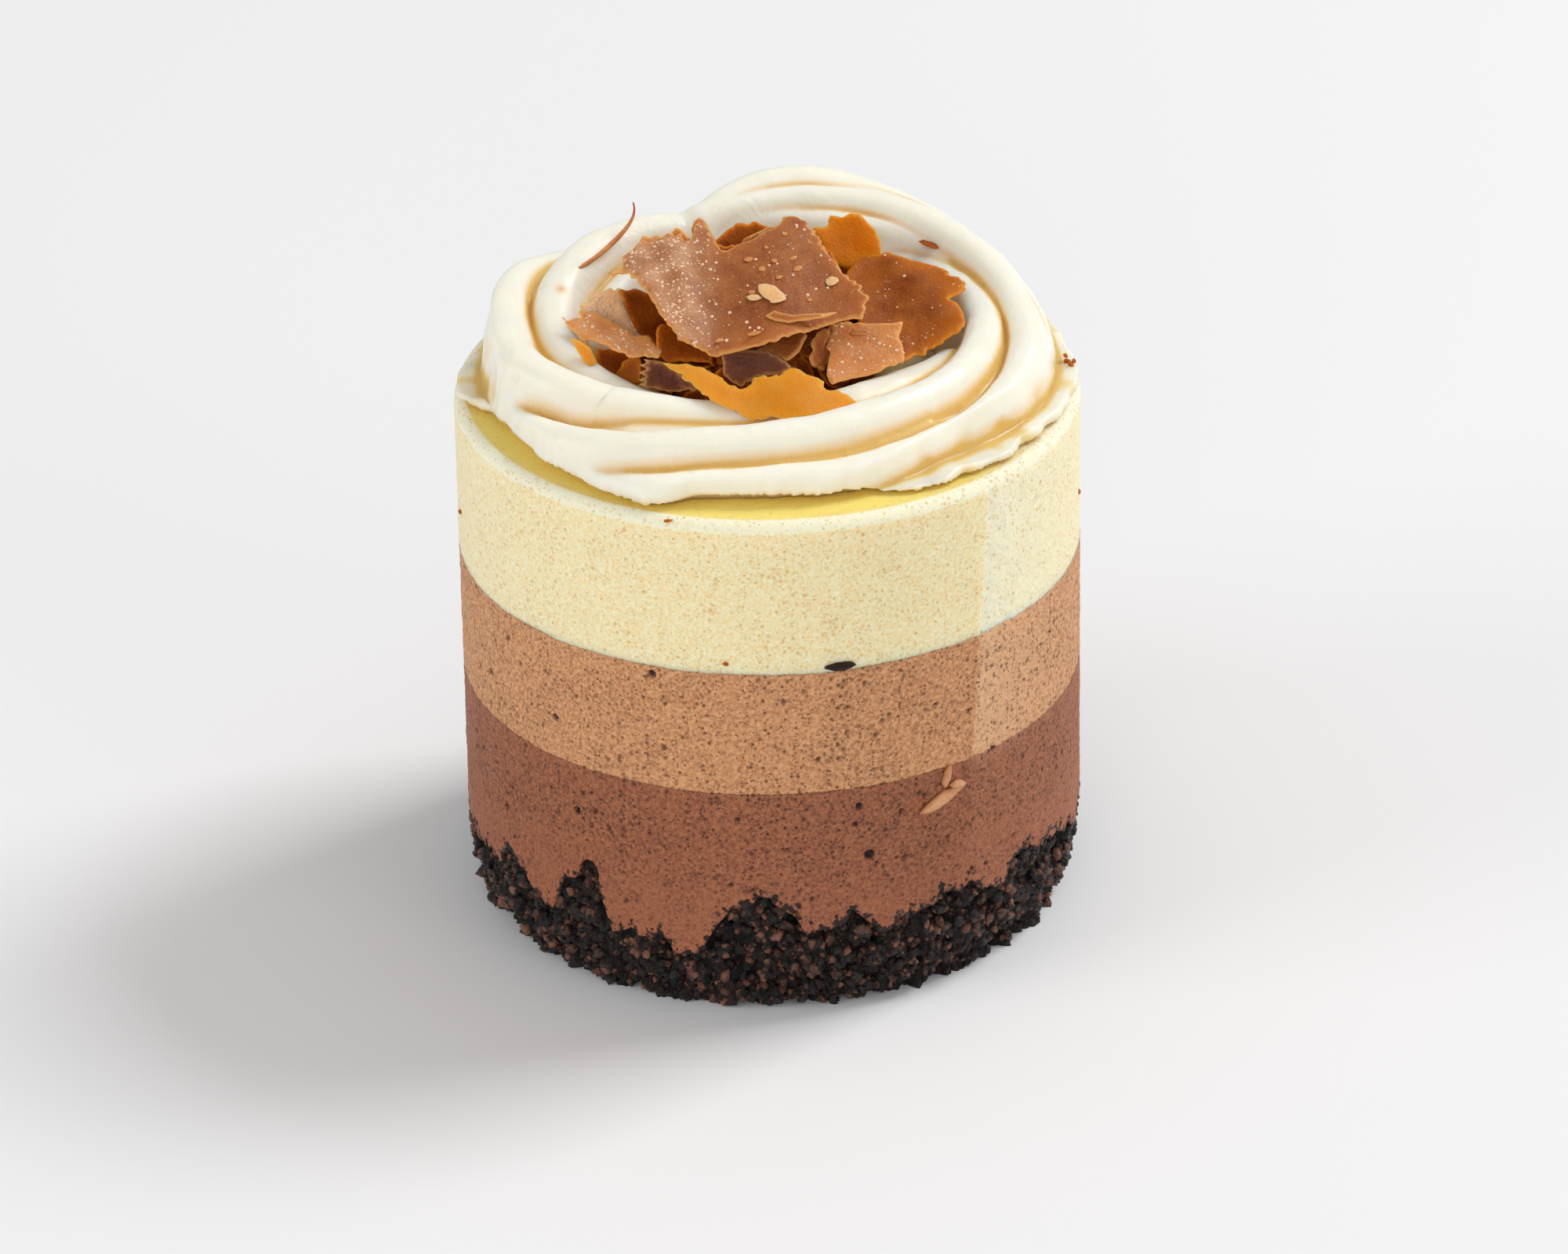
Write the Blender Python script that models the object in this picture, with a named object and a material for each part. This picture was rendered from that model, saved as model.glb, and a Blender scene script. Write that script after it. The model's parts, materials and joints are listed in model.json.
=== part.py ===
"""Individual round mousse cake of three chocolates.

A short cylinder of mousse set in a 60 mm ring: a crumbly dark sponge base, then
dark, milk and white chocolate mousse.  On top lies a piped ring of whipped
cream, and inside the ring a loose heap of milk chocolate shavings.

Lengths below are in millimetres and angles in degrees.  Angles run
anticlockwise from +X seen from above, so the front of the cake, which faces
-Y, is at 270.  The origin is the centre of the sponge's flat underside.
"""

import math
from dataclasses import dataclass, replace

import bmesh
import bpy
import numpy as np
from mathutils import Euler, Vector, noise
from mathutils.geometry import delaunay_2d_cdt

MM = 0.001

# The body of the cake
CAKE_RADIUS = 30.0
SPONGE_LEVEL = 8.0
DARK_TOP = 23.9
MILK_TOP = 36.8
MOUSSE_TOP = 52.5
RIM_ROUNDING = 1.1
GAP = 0.3
ROUND_SECTIONS = 120

# The sponge
SPONGE_FOOT_RADIUS = 27.8
SPONGE_SIDE_RADIUS = 29.4
SPONGE_CRAG = 0.75
SPONGE_CRAG_SIZE = 2.6
SPONGE_SIDE_ROWS = 5
SPONGE_CORE_RADIUS = 24.5
BACK_EDGE_MEAN = 9.4
BACK_EDGE_SWING = 3.4
BACK_EDGE_SIZE = 2.3

# Height of the sponge's ragged edge round the front half, as (angle, height)
SPONGE_EDGE = (
    (186, 8.0), (193, 7.7), (203, 8.6), (207, 7.8), (210.5, 11.2), (214, 10.0),
    (217, 8.7), (220, 7.5), (224, 7.1), (227.5, 11.0), (231, 12.0), (235.5, 11.5),
    (238.5, 6.6), (242.5, 8.1), (245, 7.1), (249, 7.4), (252, 6.4), (255, 6.3),
    (258.5, 9.0), (262, 11.5), (266.5, 12.5), (269, 12.9), (271, 11.8),
    (273.5, 10.5), (275.5, 8.5), (279, 9.2), (282.5, 9.4), (284, 11.3),
    (286, 10.2), (289, 8.1), (292, 8.4), (295, 9.8), (300, 9.8), (301.5, 11.3),
    (306, 10.2), (309, 10.7), (313, 9.2), (317, 9.0), (320.5, 10.9),
    (324.5, 11.2), (330, 10.1), (336, 9.6), (342, 8.6), (348, 7.3),
)

# The piped cream
CREAM_SECTIONS = 90
CREAM_POINTS = 26
CREAM_VALLEY = 2.1
CREAM_FLANK = 2.0
CREAM_BLEND = 0.22
CREAM_REACH = 27.8
CREAM_REACH_FLANK = 4.5
LIP_HEIGHT = 0.9
LIP_UNDERCUT = 0.8
RIDGE_FADE = 9.0
RIDGE_SINK = 4.0

# The shavings
SHAVING_THICKNESS = 0.6
SHAVING_MESH = 2.6
SHARD_SEED = 5

CHOCOLATE = "milk_chocolate"
AMBER = "thin_milk_chocolate"


@dataclass(frozen=True)
class Ridge:
    """A ridge that one tooth of the star nozzle leaves along the cream.

    Its stations are (angle, distance from the axis, height over the mousse).
    """

    rounding: float
    stations: tuple


CREAM_RIDGES = (
    # From the pinched start at the back down the inside of the left
    Ridge(3.0, (
        (97, 19.2, 6.4), (112, 20.6, 8.6), (138, 21.5, 9.0), (160, 21.1, 7.9),
        (182, 19.6, 5.6), (202, 16.6, 4.2), (222, 12.6, 2.6),
    )),
    # From the outside of the left across the front to the tapered tail
    Ridge(3.2, (
        (124, 27.0, 3.6), (138, 27.4, 5.4), (156, 26.4, 7.0), (176, 25.0, 7.5),
        (198, 24.0, 7.3), (216, 20.6, 6.3), (238, 15.8, 5.0), (270, 13.3, 4.4),
        (300, 12.9, 4.1), (333, 14.4, 4.1), (354, 17.4, 3.9),
    )),
    # The main crest, from the left edge round the front and up the right
    Ridge(3.0, (
        (164, 27.0, 1.0), (178, 27.4, 2.4), (196, 27.5, 3.4), (214, 27.2, 4.3),
        (234, 25.4, 5.2), (252, 22.4, 5.7), (272, 20.4, 5.8), (300, 19.6, 6.1),
        (328, 20.2, 6.4), (360, 20.7, 6.5), (386, 20.9, 6.3), (410, 21.4, 5.6),
        (432, 22.0, 4.4),
    )),
    # The lower crest outside it, which climbs to the top of the back
    Ridge(2.6, (
        (203, 25.0, 1.2), (223, 25.6, 2.0), (243, 26.2, 2.6), (256, 25.2, 3.0),
        (268, 24.3, 3.1), (290, 24.5, 3.5), (309, 25.2, 4.3), (328, 25.6, 5.2),
        (349, 25.1, 6.3), (373, 24.0, 7.4), (400, 24.2, 8.5), (422, 24.4, 9.3),
        (440, 22.8, 9.9), (458, 20.8, 9.9), (467, 20.0, 9.3),
    )),
    # The smear at the right edge, which becomes the outer crest of the back
    Ridge(2.4, (
        (296, 25.8, 0.9), (322, 27.0, 1.7), (346, 27.0, 2.6), (368, 26.7, 3.8),
        (395, 26.6, 6.2), (424, 26.4, 9.2), (440, 25.2, 10.9), (456, 22.8, 10.7),
        (467, 20.6, 9.4),
    )),
    # The short crest between them on the inside of the back
    Ridge(2.0, (
        (398, 22.8, 6.6), (412, 22.9, 7.4), (428, 21.8, 8.0), (446, 20.6, 8.5),
        (462, 20.0, 8.7),
    )),
    # The faint crest on the inner wall at the left
    Ridge(1.8, ((132, 18.6, 6.4), (150, 17.9, 5.2), (170, 16.6, 3.6))),
)


@dataclass(frozen=True)
class Shaving:
    """A large shaving of chocolate: an outline in its own plane, and how it bends.

    The centre's height is over the mousse.  The plane slopes down towards the
    direction `lean` by the angle `tilt`.
    """

    name: str
    centre: tuple
    tilt: float
    lean: float
    outline: tuple
    bend_radius: float
    bend_direction: float
    ripple: float = 0.0
    ripple_length: float = 8.0
    ripple_direction: float = 0.0
    material: str = CHOCOLATE


SHAVINGS = (
    Shaving(
        "shaving_top", (-1.9, -1.0, 10.6), 20, -88,
        (
            (-11.0, 4.6), (-10.0, -0.2), (-8.0, -4.9), (-5.1, -7.2), (-2.2, -7.9),
            (1.9, -7.5), (6.4, -5.5), (10.5, -4.3), (11.3, -2.6), (9.4, 1.4),
            (7.7, 5.5), (7.1, 7.9), (6.0, 9.8), (4.6, 10.3), (3.3, 8.1), (1.0, 6.5),
            (-1.9, 5.1), (-3.7, 10.2), (-5.1, 8.8), (-6.7, 8.4), (-9.0, 7.1),
        ),
        -45, 90, ripple=0.35, ripple_length=11,
    ),
    Shaving(
        "shaving_right", (14.0, 2.2, 7.3), 14, -95,
        (
            (-5.3, -2.7), (-6.6, 3.6), (-5.3, 7.4), (-3.1, 7.9), (1.5, 5.8),
            (4.7, 3.0), (5.0, 0.8), (4.2, -1.4), (5.0, -2.2), (4.8, -4.1),
            (2.6, -6.1), (-0.2, -8.6), (-3.6, -7.2),
        ),
        45, 20, ripple=0.25, ripple_direction=30,
    ),
    Shaving(
        "shaving_back", (8.3, 12.0, 9.15), 42, -80,
        (
            (-3.3, 1.3), (-1.7, 2.7), (1.1, 2.6), (1.9, 1.2), (2.8, 0.2),
            (3.0, -1.0), (1.6, -2.2), (-0.5, -3.3), (-2.3, -2.3),
        ),
        14, 10, material=AMBER,
    ),
    Shaving(
        "shaving_middle", (9.0, -6.9, 6.6), 24, -90,
        (
            (-2.9, 3.2), (3.8, 3.2), (3.4, 1.8), (3.9, 0.0), (3.7, -1.6),
            (-0.1, -3.0), (-3.2, -4.6), (-3.8, -3.8), (-3.0, -0.4), (-3.8, 0.4),
        ),
        40, 60, ripple=0.15, ripple_length=6,
    ),
    Shaving(
        "shaving_front", (0.5, -12.9, 6.0), 20, -90,
        (
            (-10.4, 3.6), (-8.2, 3.2), (-5.1, 1.7), (-2.9, 0.0), (0.0, 1.9),
            (1.9, 2.6), (3.3, 1.8), (5.6, 0.7), (8.2, -1.7), (7.2, -2.5),
            (3.9, -3.7), (1.0, -3.4), (-1.9, -2.7), (-4.0, -1.8), (-6.5, 0.3),
        ),
        60, 0, ripple=0.35, ripple_length=9, ripple_direction=10, material=AMBER,
    ),
    Shaving(
        "shaving_curled", (-13.5, 0.9, 6.6), 34, -100,
        (
            (-3.9, 0.7), (-1.1, 3.5), (0.1, 1.7), (1.5, -1.2), (3.7, -3.2),
            (4.2, -4.3), (0.9, -3.8), (-2.0, -2.0),
        ),
        12, 20,
    ),
    Shaving(
        "shaving_leaf", (-15.0, -2.5, 6.2), 30, -110,
        (
            (-5.0, 1.5), (-3.5, 2.0), (-0.9, 2.1), (2.1, 0.3), (5.5, -1.1),
            (5.6, -1.8), (2.7, -2.2), (-0.3, -1.4), (-3.3, 0.3),
        ),
        16, 90, ripple=0.15, ripple_length=6,
    ),
    Shaving(
        "shaving_small", (-17.2, -4.6, 6.05), 38, -60,
        ((-0.9, 1.8), (0.1, 0.8), (0.9, -0.7), (0.8, -1.8), (-0.5, -1.0), (-1.0, 0.5)),
        20, 0, material=AMBER,
    ),
    Shaving(
        "shaving_layered", (-9.1, -6.7, 4.2), 62, -92,
        (
            (-2.6, 1.2), (-0.4, 1.3), (2.2, 0.7), (3.0, -0.5), (2.5, -1.5),
            (0.0, -1.2), (-2.4, -0.7),
        ),
        12, 0,
    ),
)


# Small bits that show
@dataclass(frozen=True)
class Chip:
    """A small flat chip: length, width and thickness, where it lies and how it is turned."""

    centre: tuple
    size: tuple
    turn: tuple


NUT_FLAKES = (
    Chip((16.2, -25.3, 21.1), (5.0, 1.5, 0.9), (90, -24, 32)),
    Chip((16.2, -25.5, 23.0), (2.2, 1.0, 0.8), (90, -75, 32)),
)
DARK_BIT = Chip((6.55, -28.6, 37.8), (3.3, 1.0, 2.2), (90, 0, 13))
# The chips on the cream sink into it by the third figure of their centre
CREAM_CHIPS = (
    Chip((-25.0, -7.6, 0.1), (1.2, 0.7, 0.8), (0, 20, 60)),
    Chip((16.2, 15.0, 0.1), (2.9, 1.0, 0.8), (0, 10, -20)),
    Chip((28.1, 0.4, 0.0), (1.8, 1.5, 1.4), (20, 30, 10)),
)
SHAVING_CHIP = Chip((0.2, -3.4, 62.9), (3.2, 1.8, 1.0), (20, 0, 15))

# A long sliver of chocolate that stands curled on the left of the cream
SLIVER_PATH = (
    (-12.4, 16.0, 64.3), (-12.2, 15.6, 63.0), (-13.0, 14.4, 61.7), (-14.9, 12.4, 60.6),
    (-16.6, 10.2, 60.0), (-18.2, 8.6, 59.6),
)
SLIVER_WIDTH = 0.8

# The heap of small shavings under the large ones
HEAP_RADII = (11.0, 9.6)
HEAP_CENTRE = (-0.4, 2.2)
HEAP_HEIGHT = 9.6
HEAP_SLOPE = 0.22
HEAP_SECTIONS = 28
HEAP_RINGS = 6
HEAP_SHARDS = 20


def material_named(name, colour, roughness):
    """The Principled material of this name, made on first use."""
    found = bpy.data.materials.get(name)
    if found:
        return found
    made = bpy.data.materials.new(name)
    made.use_nodes = True
    shader = made.node_tree.nodes["Principled BSDF"]
    shader.inputs["Base Color"].default_value = (*colour, 1.0)
    shader.inputs["Roughness"].default_value = roughness
    shader.inputs["Metallic"].default_value = 0.0
    made.diffuse_color = (*colour, 1.0)
    return made


MATERIALS = {
    "chocolate_sponge": ((0.022, 0.010, 0.007), 0.55),
    "dark_chocolate_mousse": ((0.262, 0.090, 0.048), 0.80),
    "milk_chocolate_mousse": ((0.487, 0.262, 0.138), 0.80),
    "white_chocolate_mousse": ((0.888, 0.807, 0.479), 0.75),
    "whipped_cream": ((0.913, 0.880, 0.753), 0.45),
    CHOCOLATE: ((0.262, 0.089, 0.042), 0.40),
    AMBER: ((0.597, 0.235, 0.054), 0.40),
}


def add_object(name, points, faces, material, smooth_angle=40.0):
    """Makes one closed body from points in millimetres and faces, faces pointing out."""
    mesh = bpy.data.meshes.new(name)
    mesh.from_pydata([tuple(c * MM for c in p) for p in points], [], faces)
    mesh.update()
    work = bmesh.new()
    work.from_mesh(mesh)
    bmesh.ops.recalc_face_normals(work, faces=work.faces)
    work.to_mesh(mesh)
    work.free()
    mesh.shade_smooth()
    mesh.set_sharp_from_angle(angle=math.radians(smooth_angle))
    obj = bpy.data.objects.new(name, mesh)
    bpy.context.scene.collection.objects.link(obj)
    obj.data.materials.append(material_named(material, *MATERIALS[material]))
    return obj


def stacked_rings(rings):
    """Points and triangles of rings stacked on each other, each end closed to its centre.

    Every band is split along the same diagonal, so that two faces which lie one
    over the other, as where two layers meet, never cross.
    """
    count = len(rings[0])
    points = [tuple(p) for ring in rings for p in ring]
    faces = []
    for row in range(len(rings) - 1):
        low, high = row * count, (row + 1) * count
        for i in range(count):
            j = (i + 1) % count
            faces.append((low + i, low + j, high + j))
            faces.append((low + i, high + j, high + i))
    for row, ring in ((0, rings[0]), (len(rings) - 1, rings[-1])):
        centre = len(points)
        points.append(tuple(np.mean(np.array(ring), axis=0)))
        first = row * count
        for i in range(count):
            j = (i + 1) % count
            faces.append((centre, first + j, first + i) if row == 0 else (centre, first + i, first + j))
    return points, faces


def round_ring(radius, height, count=ROUND_SECTIONS):
    """A ring about the cake's axis; radius and height are numbers or functions of the angle."""
    ring = []
    for i in range(count):
        angle = 360.0 * i / count
        r = radius(angle) if callable(radius) else radius
        z = height(angle) if callable(height) else height
        a = math.radians(angle)
        ring.append((r * math.cos(a), r * math.sin(a), z))
    return ring


def between(stations, angle):
    """Reads a list of (angle, value) at an angle, in straight runs."""
    angles, values = zip(*stations)
    return float(np.interp(angle, angles, values))


def fine_noise(x, y, z, size):
    """Smooth noise from -1 to 1 whose lumps are about this size."""
    return noise.noise(Vector((x, y, z)) / size)


def sponge_edge(angle):
    """Height of the sponge's ragged edge at the side of the cake."""
    first, last = SPONGE_EDGE[0][0], SPONGE_EDGE[-1][0]
    if first <= angle <= last:
        return between(SPONGE_EDGE, angle)
    a = math.radians(angle)
    x, y = CAKE_RADIUS * math.cos(a), CAKE_RADIUS * math.sin(a)
    return BACK_EDGE_MEAN + BACK_EDGE_SWING * fine_noise(x, y, 3.0, BACK_EDGE_SIZE)


def sponge_side(level):
    """Craggy radius of the sponge's side, as a function of the angle, at a level from 0 to 1."""

    def radius(angle):
        a = math.radians(angle)
        smooth = SPONGE_FOOT_RADIUS + (SPONGE_SIDE_RADIUS - SPONGE_FOOT_RADIUS) * min(1.0, level * 2.0)
        x, y, z = smooth * math.cos(a), smooth * math.sin(a), level * sponge_edge(angle)
        crag = fine_noise(x, y, z, SPONGE_CRAG_SIZE) + 0.5 * fine_noise(x, y, z + 40, SPONGE_CRAG_SIZE / 2)
        return min(smooth + SPONGE_CRAG * crag, SPONGE_SIDE_RADIUS)

    return radius


def interface_rings(lift):
    """Rings of the uneven face where dark mousse meets sponge, from the side to the core."""
    core = lambda angle: SPONGE_LEVEL + 0.25 * (sponge_edge(angle) - SPONGE_LEVEL) + lift
    return [
        round_ring(SPONGE_SIDE_RADIUS, lambda angle: sponge_edge(angle) + lift),
        round_ring(SPONGE_SIDE_RADIUS - 2.2, lambda angle: sponge_edge(angle) + lift),
        round_ring(SPONGE_CORE_RADIUS, core),
        round_ring(SPONGE_CORE_RADIUS / 2, SPONGE_LEVEL + lift),
    ]


def build_sponge():
    """The crumbly sponge base, with its flat underside and ragged upper edge."""
    rings = [round_ring(sponge_side(0.0), 0.0)]
    for row in range(1, SPONGE_SIDE_ROWS):
        level = row / SPONGE_SIDE_ROWS
        rings.append(round_ring(sponge_side(level), lambda angle, level=level: level * sponge_edge(angle)))
    rings += interface_rings(0.0)
    add_object("sponge_base", *stacked_rings(rings), "chocolate_sponge", 75.0)


def build_dark_mousse():
    """Dark chocolate mousse, which runs down into the sponge, with the nut flakes on its side."""
    rings = [
        round_ring(CAKE_RADIUS, DARK_TOP - GAP / 2),
        round_ring(CAKE_RADIUS, lambda angle: sponge_edge(angle) + 2 * GAP),
        *interface_rings(GAP),
    ]
    body = add_object("dark_mousse", *stacked_rings(rings), "dark_chocolate_mousse")
    fuse(body, [chip_object(flake, "milk_chocolate_mousse") for flake in NUT_FLAKES])


def build_milk_mousse():
    """The plain disc of milk chocolate mousse."""
    rings = [
        round_ring(CAKE_RADIUS, DARK_TOP + GAP / 2),
        round_ring(CAKE_RADIUS, MILK_TOP - GAP / 2),
    ]
    add_object("milk_mousse", *stacked_rings(rings), "milk_chocolate_mousse")


def build_white_mousse():
    """White chocolate mousse with its rounded rim, a dark bit in its side and a crumb on its rim."""
    rings = [round_ring(CAKE_RADIUS, MILK_TOP + GAP / 2)]
    for step in range(5):
        turn = math.radians(90 * step / 4)
        rings.append(round_ring(
            CAKE_RADIUS - RIM_ROUNDING * (1 - math.cos(turn)),
            MOUSSE_TOP - RIM_ROUNDING * (1 - math.sin(turn)),
        ))
    body = add_object("white_mousse", *stacked_rings(rings), "white_chocolate_mousse")
    fuse(body, [chip_object(DARK_BIT, "chocolate_sponge")])


def smooth_between(stations, angle):
    """Reads stations of (angle, radius, height) on a smooth curve through them."""
    angles = [s[0] for s in stations]
    values = np.array([s[1:] for s in stations], dtype=float)
    slopes = np.gradient(values, np.array(angles, dtype=float), axis=0)
    i = int(np.clip(np.searchsorted(angles, angle) - 1, 0, len(angles) - 2))
    span = angles[i + 1] - angles[i]
    t = min(1.0, max(0.0, (angle - angles[i]) / span))
    a, b = 2 * t**3 - 3 * t**2 + 1, t**3 - 2 * t**2 + t
    c, d = -2 * t**3 + 3 * t**2, t**3 - t**2
    return a * values[i] + b * span * slopes[i] + c * values[i + 1] + d * span * slopes[i + 1]


def ridges_at(angle):
    """The ridges that cross an angle, as (radius, height, rounding, presence)."""
    found = []
    for ridge in CREAM_RIDGES:
        first, last = ridge.stations[0][0], ridge.stations[-1][0]
        for turned in (angle, angle + 360.0):
            outside = max(first - turned, turned - last, 0.0)
            if outside >= RIDGE_FADE:
                continue
            radius, height = smooth_between(ridge.stations, turned)
            presence = 1.0 - outside / RIDGE_FADE
            sink = RIDGE_SINK * (1.0 - presence) ** 2
            found.append((radius, height - sink, ridge.rounding, presence))
    return found


def lobe_drop(distance, rounding):
    """How far a ridge has fallen at a distance from its crest: round, then a straight flank."""
    edge = rounding * CREAM_FLANK / math.hypot(1.0, CREAM_FLANK)
    near = np.minimum(distance, edge)
    return rounding - np.sqrt(rounding**2 - near**2) + CREAM_FLANK * (distance - near)


def cream_profile(angle, radii):
    """Height of the cream over the mousse at each of these radii."""
    ridges = ridges_at(angle)
    layers = [height - lobe_drop(np.abs(radii - radius), rounding) for radius, height, rounding, _ in ridges]
    weights = np.array([p / ((radii - r) ** 2 + 4.0) for r, _, _, p in ridges])
    heights = np.array([[height] for _, height, _, _ in ridges])
    body = (weights * heights).sum(axis=0) / weights.sum(axis=0) - CREAM_VALLEY
    solid = [r for r, _, _, presence in ridges if presence > 0.99]
    outside = np.maximum(np.maximum(min(solid) - radii, radii - max(solid)), 0.0)
    layers.append(body - CREAM_FLANK * outside)
    stack = np.array(layers)
    top = stack.max(axis=0)
    blended = top + CREAM_BLEND * np.log(np.exp((stack - top) / CREAM_BLEND).sum(axis=0))
    return blended - CREAM_REACH_FLANK * np.maximum(radii - CREAM_REACH, 0.0)


def cream_section(angle):
    """One closed section of the cream, as (radius, height over the mousse)."""
    radii = np.arange(6.0, 31.0, 0.05)
    heights = cream_profile(angle, radii)
    inner = int(np.argmax(heights > 0.0))
    outer = len(heights) - 1 - int(np.argmax(heights[::-1] > LIP_HEIGHT))
    r, z = radii[inner : outer + 1], heights[inner : outer + 1]
    z[0] = 0.0
    length = np.concatenate([[0.0], np.cumsum(np.hypot(np.diff(r), np.diff(z)))])
    spaced = np.linspace(0.0, length[-1], CREAM_POINTS)
    section = list(zip(np.interp(spaced, length, r), np.interp(spaced, length, z)))
    section.append((section[-1][0] - LIP_UNDERCUT, 0.0))
    section.append(((section[0][0] + section[-1][0]) / 2, 0.0))
    return section


def build_cream():
    """The piped ring of cream with its winding ridges, and the bits of chocolate on it."""
    points, faces = [], []
    for i in range(CREAM_SECTIONS):
        angle = 360.0 * i / CREAM_SECTIONS
        a = math.radians(angle)
        for r, z in cream_section(angle):
            points.append((r * math.cos(a), r * math.sin(a), MOUSSE_TOP + GAP + z))
    loop = len(points) // CREAM_SECTIONS
    for i in range(CREAM_SECTIONS):
        here, there = i * loop, (i + 1) % CREAM_SECTIONS * loop
        for j in range(loop):
            k = (j + 1) % loop
            faces.append((here + j, here + k, there + k, there + j))
    body = add_object("cream_swirl", points, faces, "whipped_cream", 60.0)
    bits = []
    for chip in CREAM_CHIPS:
        x, y, sink = chip.centre
        angle = math.degrees(math.atan2(y, x)) % 360.0
        height = float(cream_profile(angle, np.array([math.hypot(x, y)]))[0])
        lying = replace(chip, centre=(x, y, MOUSSE_TOP + GAP + height - sink))
        bits.append(chip_object(lying, CHOCOLATE))
    bits.append(sliver_object())
    fuse(body, bits)


def chip_object(chip, material):
    """A chip as a small lens-like body: an outline of eight corners with rounded faces."""
    length, width, thickness = (s / 2 for s in chip.size)
    turn = Euler([math.radians(a) for a in chip.turn]).to_matrix()
    rings = []
    for level, spread in ((-1.0, 0.55), (0.0, 1.0), (1.0, 0.55)):
        ring = []
        for i in range(8):
            a = math.tau * i / 8
            local = Vector((length * spread * math.cos(a), width * spread * math.sin(a), thickness * level))
            ring.append(Vector(chip.centre) + turn @ local)
        rings.append(ring)
    return add_object("chip", *stacked_rings(rings), material)


def sliver_object():
    """The long thin sliver as a five-sided tube that tapers to both ends."""
    path = [Vector(p) for p in SLIVER_PATH]
    rings = []
    for i, point in enumerate(path):
        ahead = (path[min(i + 1, len(path) - 1)] - path[max(i - 1, 0)]).normalized()
        across = ahead.cross(Vector((0, 0, 1))).normalized()
        up = across.cross(ahead)
        taper = 1.0 - 0.6 * abs(2.0 * i / (len(path) - 1) - 1.0)
        half = SLIVER_WIDTH / 2 * taper
        ring = []
        for k in range(5):
            a = math.tau * k / 5
            ring.append(point + across * (half * math.cos(a)) + up * (half * math.sin(a)))
        rings.append(ring)
    return add_object("sliver", *stacked_rings(rings), CHOCOLATE)


def fuse(body, pieces):
    """Joins pieces to a body with one Boolean union on a collection, then removes them."""
    group = bpy.data.collections.new("pieces_of_" + body.name)
    bpy.context.scene.collection.children.link(group)
    for piece in pieces:
        bpy.context.scene.collection.objects.unlink(piece)
        group.objects.link(piece)
    union = body.modifiers.new("union", "BOOLEAN")
    union.operation = "UNION"
    union.operand_type = "COLLECTION"
    union.collection = group
    union.solver = "EXACT"
    union.material_mode = "TRANSFER"
    bpy.context.view_layer.update()
    graph = bpy.context.evaluated_depsgraph_get()
    merged = bpy.data.meshes.new_from_object(body.evaluated_get(graph), depsgraph=graph)
    body.modifiers.clear()
    body.data = merged
    drop_scraps(merged)
    for piece in list(group.objects):
        bpy.data.objects.remove(piece)
    bpy.data.collections.remove(group)


def drop_scraps(mesh):
    """Removes loose scraps that a union leaves beside the body itself."""
    work = bmesh.new()
    work.from_mesh(mesh)
    left, islands = set(work.verts), []
    while left:
        island, edge = set(), {left.pop()}
        while edge:
            island |= edge
            edge = {e.other_vert(v) for v in edge for e in v.link_edges} - island
        left -= island
        islands.append(island)
    islands.sort(key=len)
    scraps = [v for island in islands[:-1] for v in island]
    bmesh.ops.delete(work, geom=scraps, context="VERTS")
    work.to_mesh(mesh)
    work.free()


def bend_height(shaving, u, v):
    """How far a shaving's surface stands off its own plane at (u, v)."""
    bend, wave = math.radians(shaving.bend_direction), math.radians(shaving.ripple_direction)
    along = u * math.cos(bend) + v * math.sin(bend)
    across = u * math.cos(wave) + v * math.sin(wave)
    curve = along**2 / (2.0 * shaving.bend_radius)
    return curve + shaving.ripple * math.sin(math.tau * across / shaving.ripple_length)


def inside(outline, u, v, margin):
    """Whether (u, v) is inside an outline by at least a margin."""
    hit = False
    for (ax, ay), (bx, by) in zip(outline, outline[1:] + outline[:1]):
        if (ay > v) != (by > v) and u < (bx - ax) * (v - ay) / (by - ay) + ax:
            hit = not hit
        edge = Vector((bx - ax, by - ay))
        t = min(1.0, max(0.0, Vector((u - ax, v - ay)).dot(edge) / edge.length_squared))
        if Vector((ax + t * edge.x - u, ay + t * edge.y - v)).length < margin:
            return False
    return hit


def shaving_points(outline):
    """An outline with a grid of inner points, split into triangles."""
    low = [min(p[k] for p in outline) for k in (0, 1)]
    high = [max(p[k] for p in outline) for k in (0, 1)]
    grid = [
        (u, v)
        for u in np.arange(low[0], high[0], SHAVING_MESH)
        for v in np.arange(low[1], high[1], SHAVING_MESH)
        if inside(outline, u, v, SHAVING_MESH * 0.35)
    ]
    flat = [Vector(p) for p in [*outline, *grid]]
    verts, _, faces, *_ = delaunay_2d_cdt(flat, [], [list(range(len(outline)))], 1, 1e-6)
    return verts, [list(face) for face in faces]


def build_shaving(shaving):
    """A thin wavy solid: the outline's triangles on both faces, and a wall round them."""
    verts, faces = shaving_points(list(shaving.outline))
    turn = Euler((math.radians(shaving.tilt), 0, math.radians(shaving.lean + 90))).to_matrix()
    centre = Vector(shaving.centre) + Vector((0, 0, MOUSSE_TOP))
    points = []
    for side in (0.5, -0.5):
        for u, v in verts:
            w = bend_height(shaving, u, v) + side * SHAVING_THICKNESS
            points.append(centre + turn @ Vector((u, v, w)))
    count = len(verts)
    triangles = [tuple(face) for face in faces]
    triangles += [tuple(i + count for i in reversed(face)) for face in faces]
    edges = {(face[i], face[(i + 1) % len(face)]) for face in faces for i in range(len(face))}
    for a, b in sorted(edges):
        if (b, a) not in edges:
            triangles += [(b, a, a + count), (b, a + count, b + count)]
    return add_object(shaving.name, points, triangles, shaving.material, 30.0)


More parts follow.
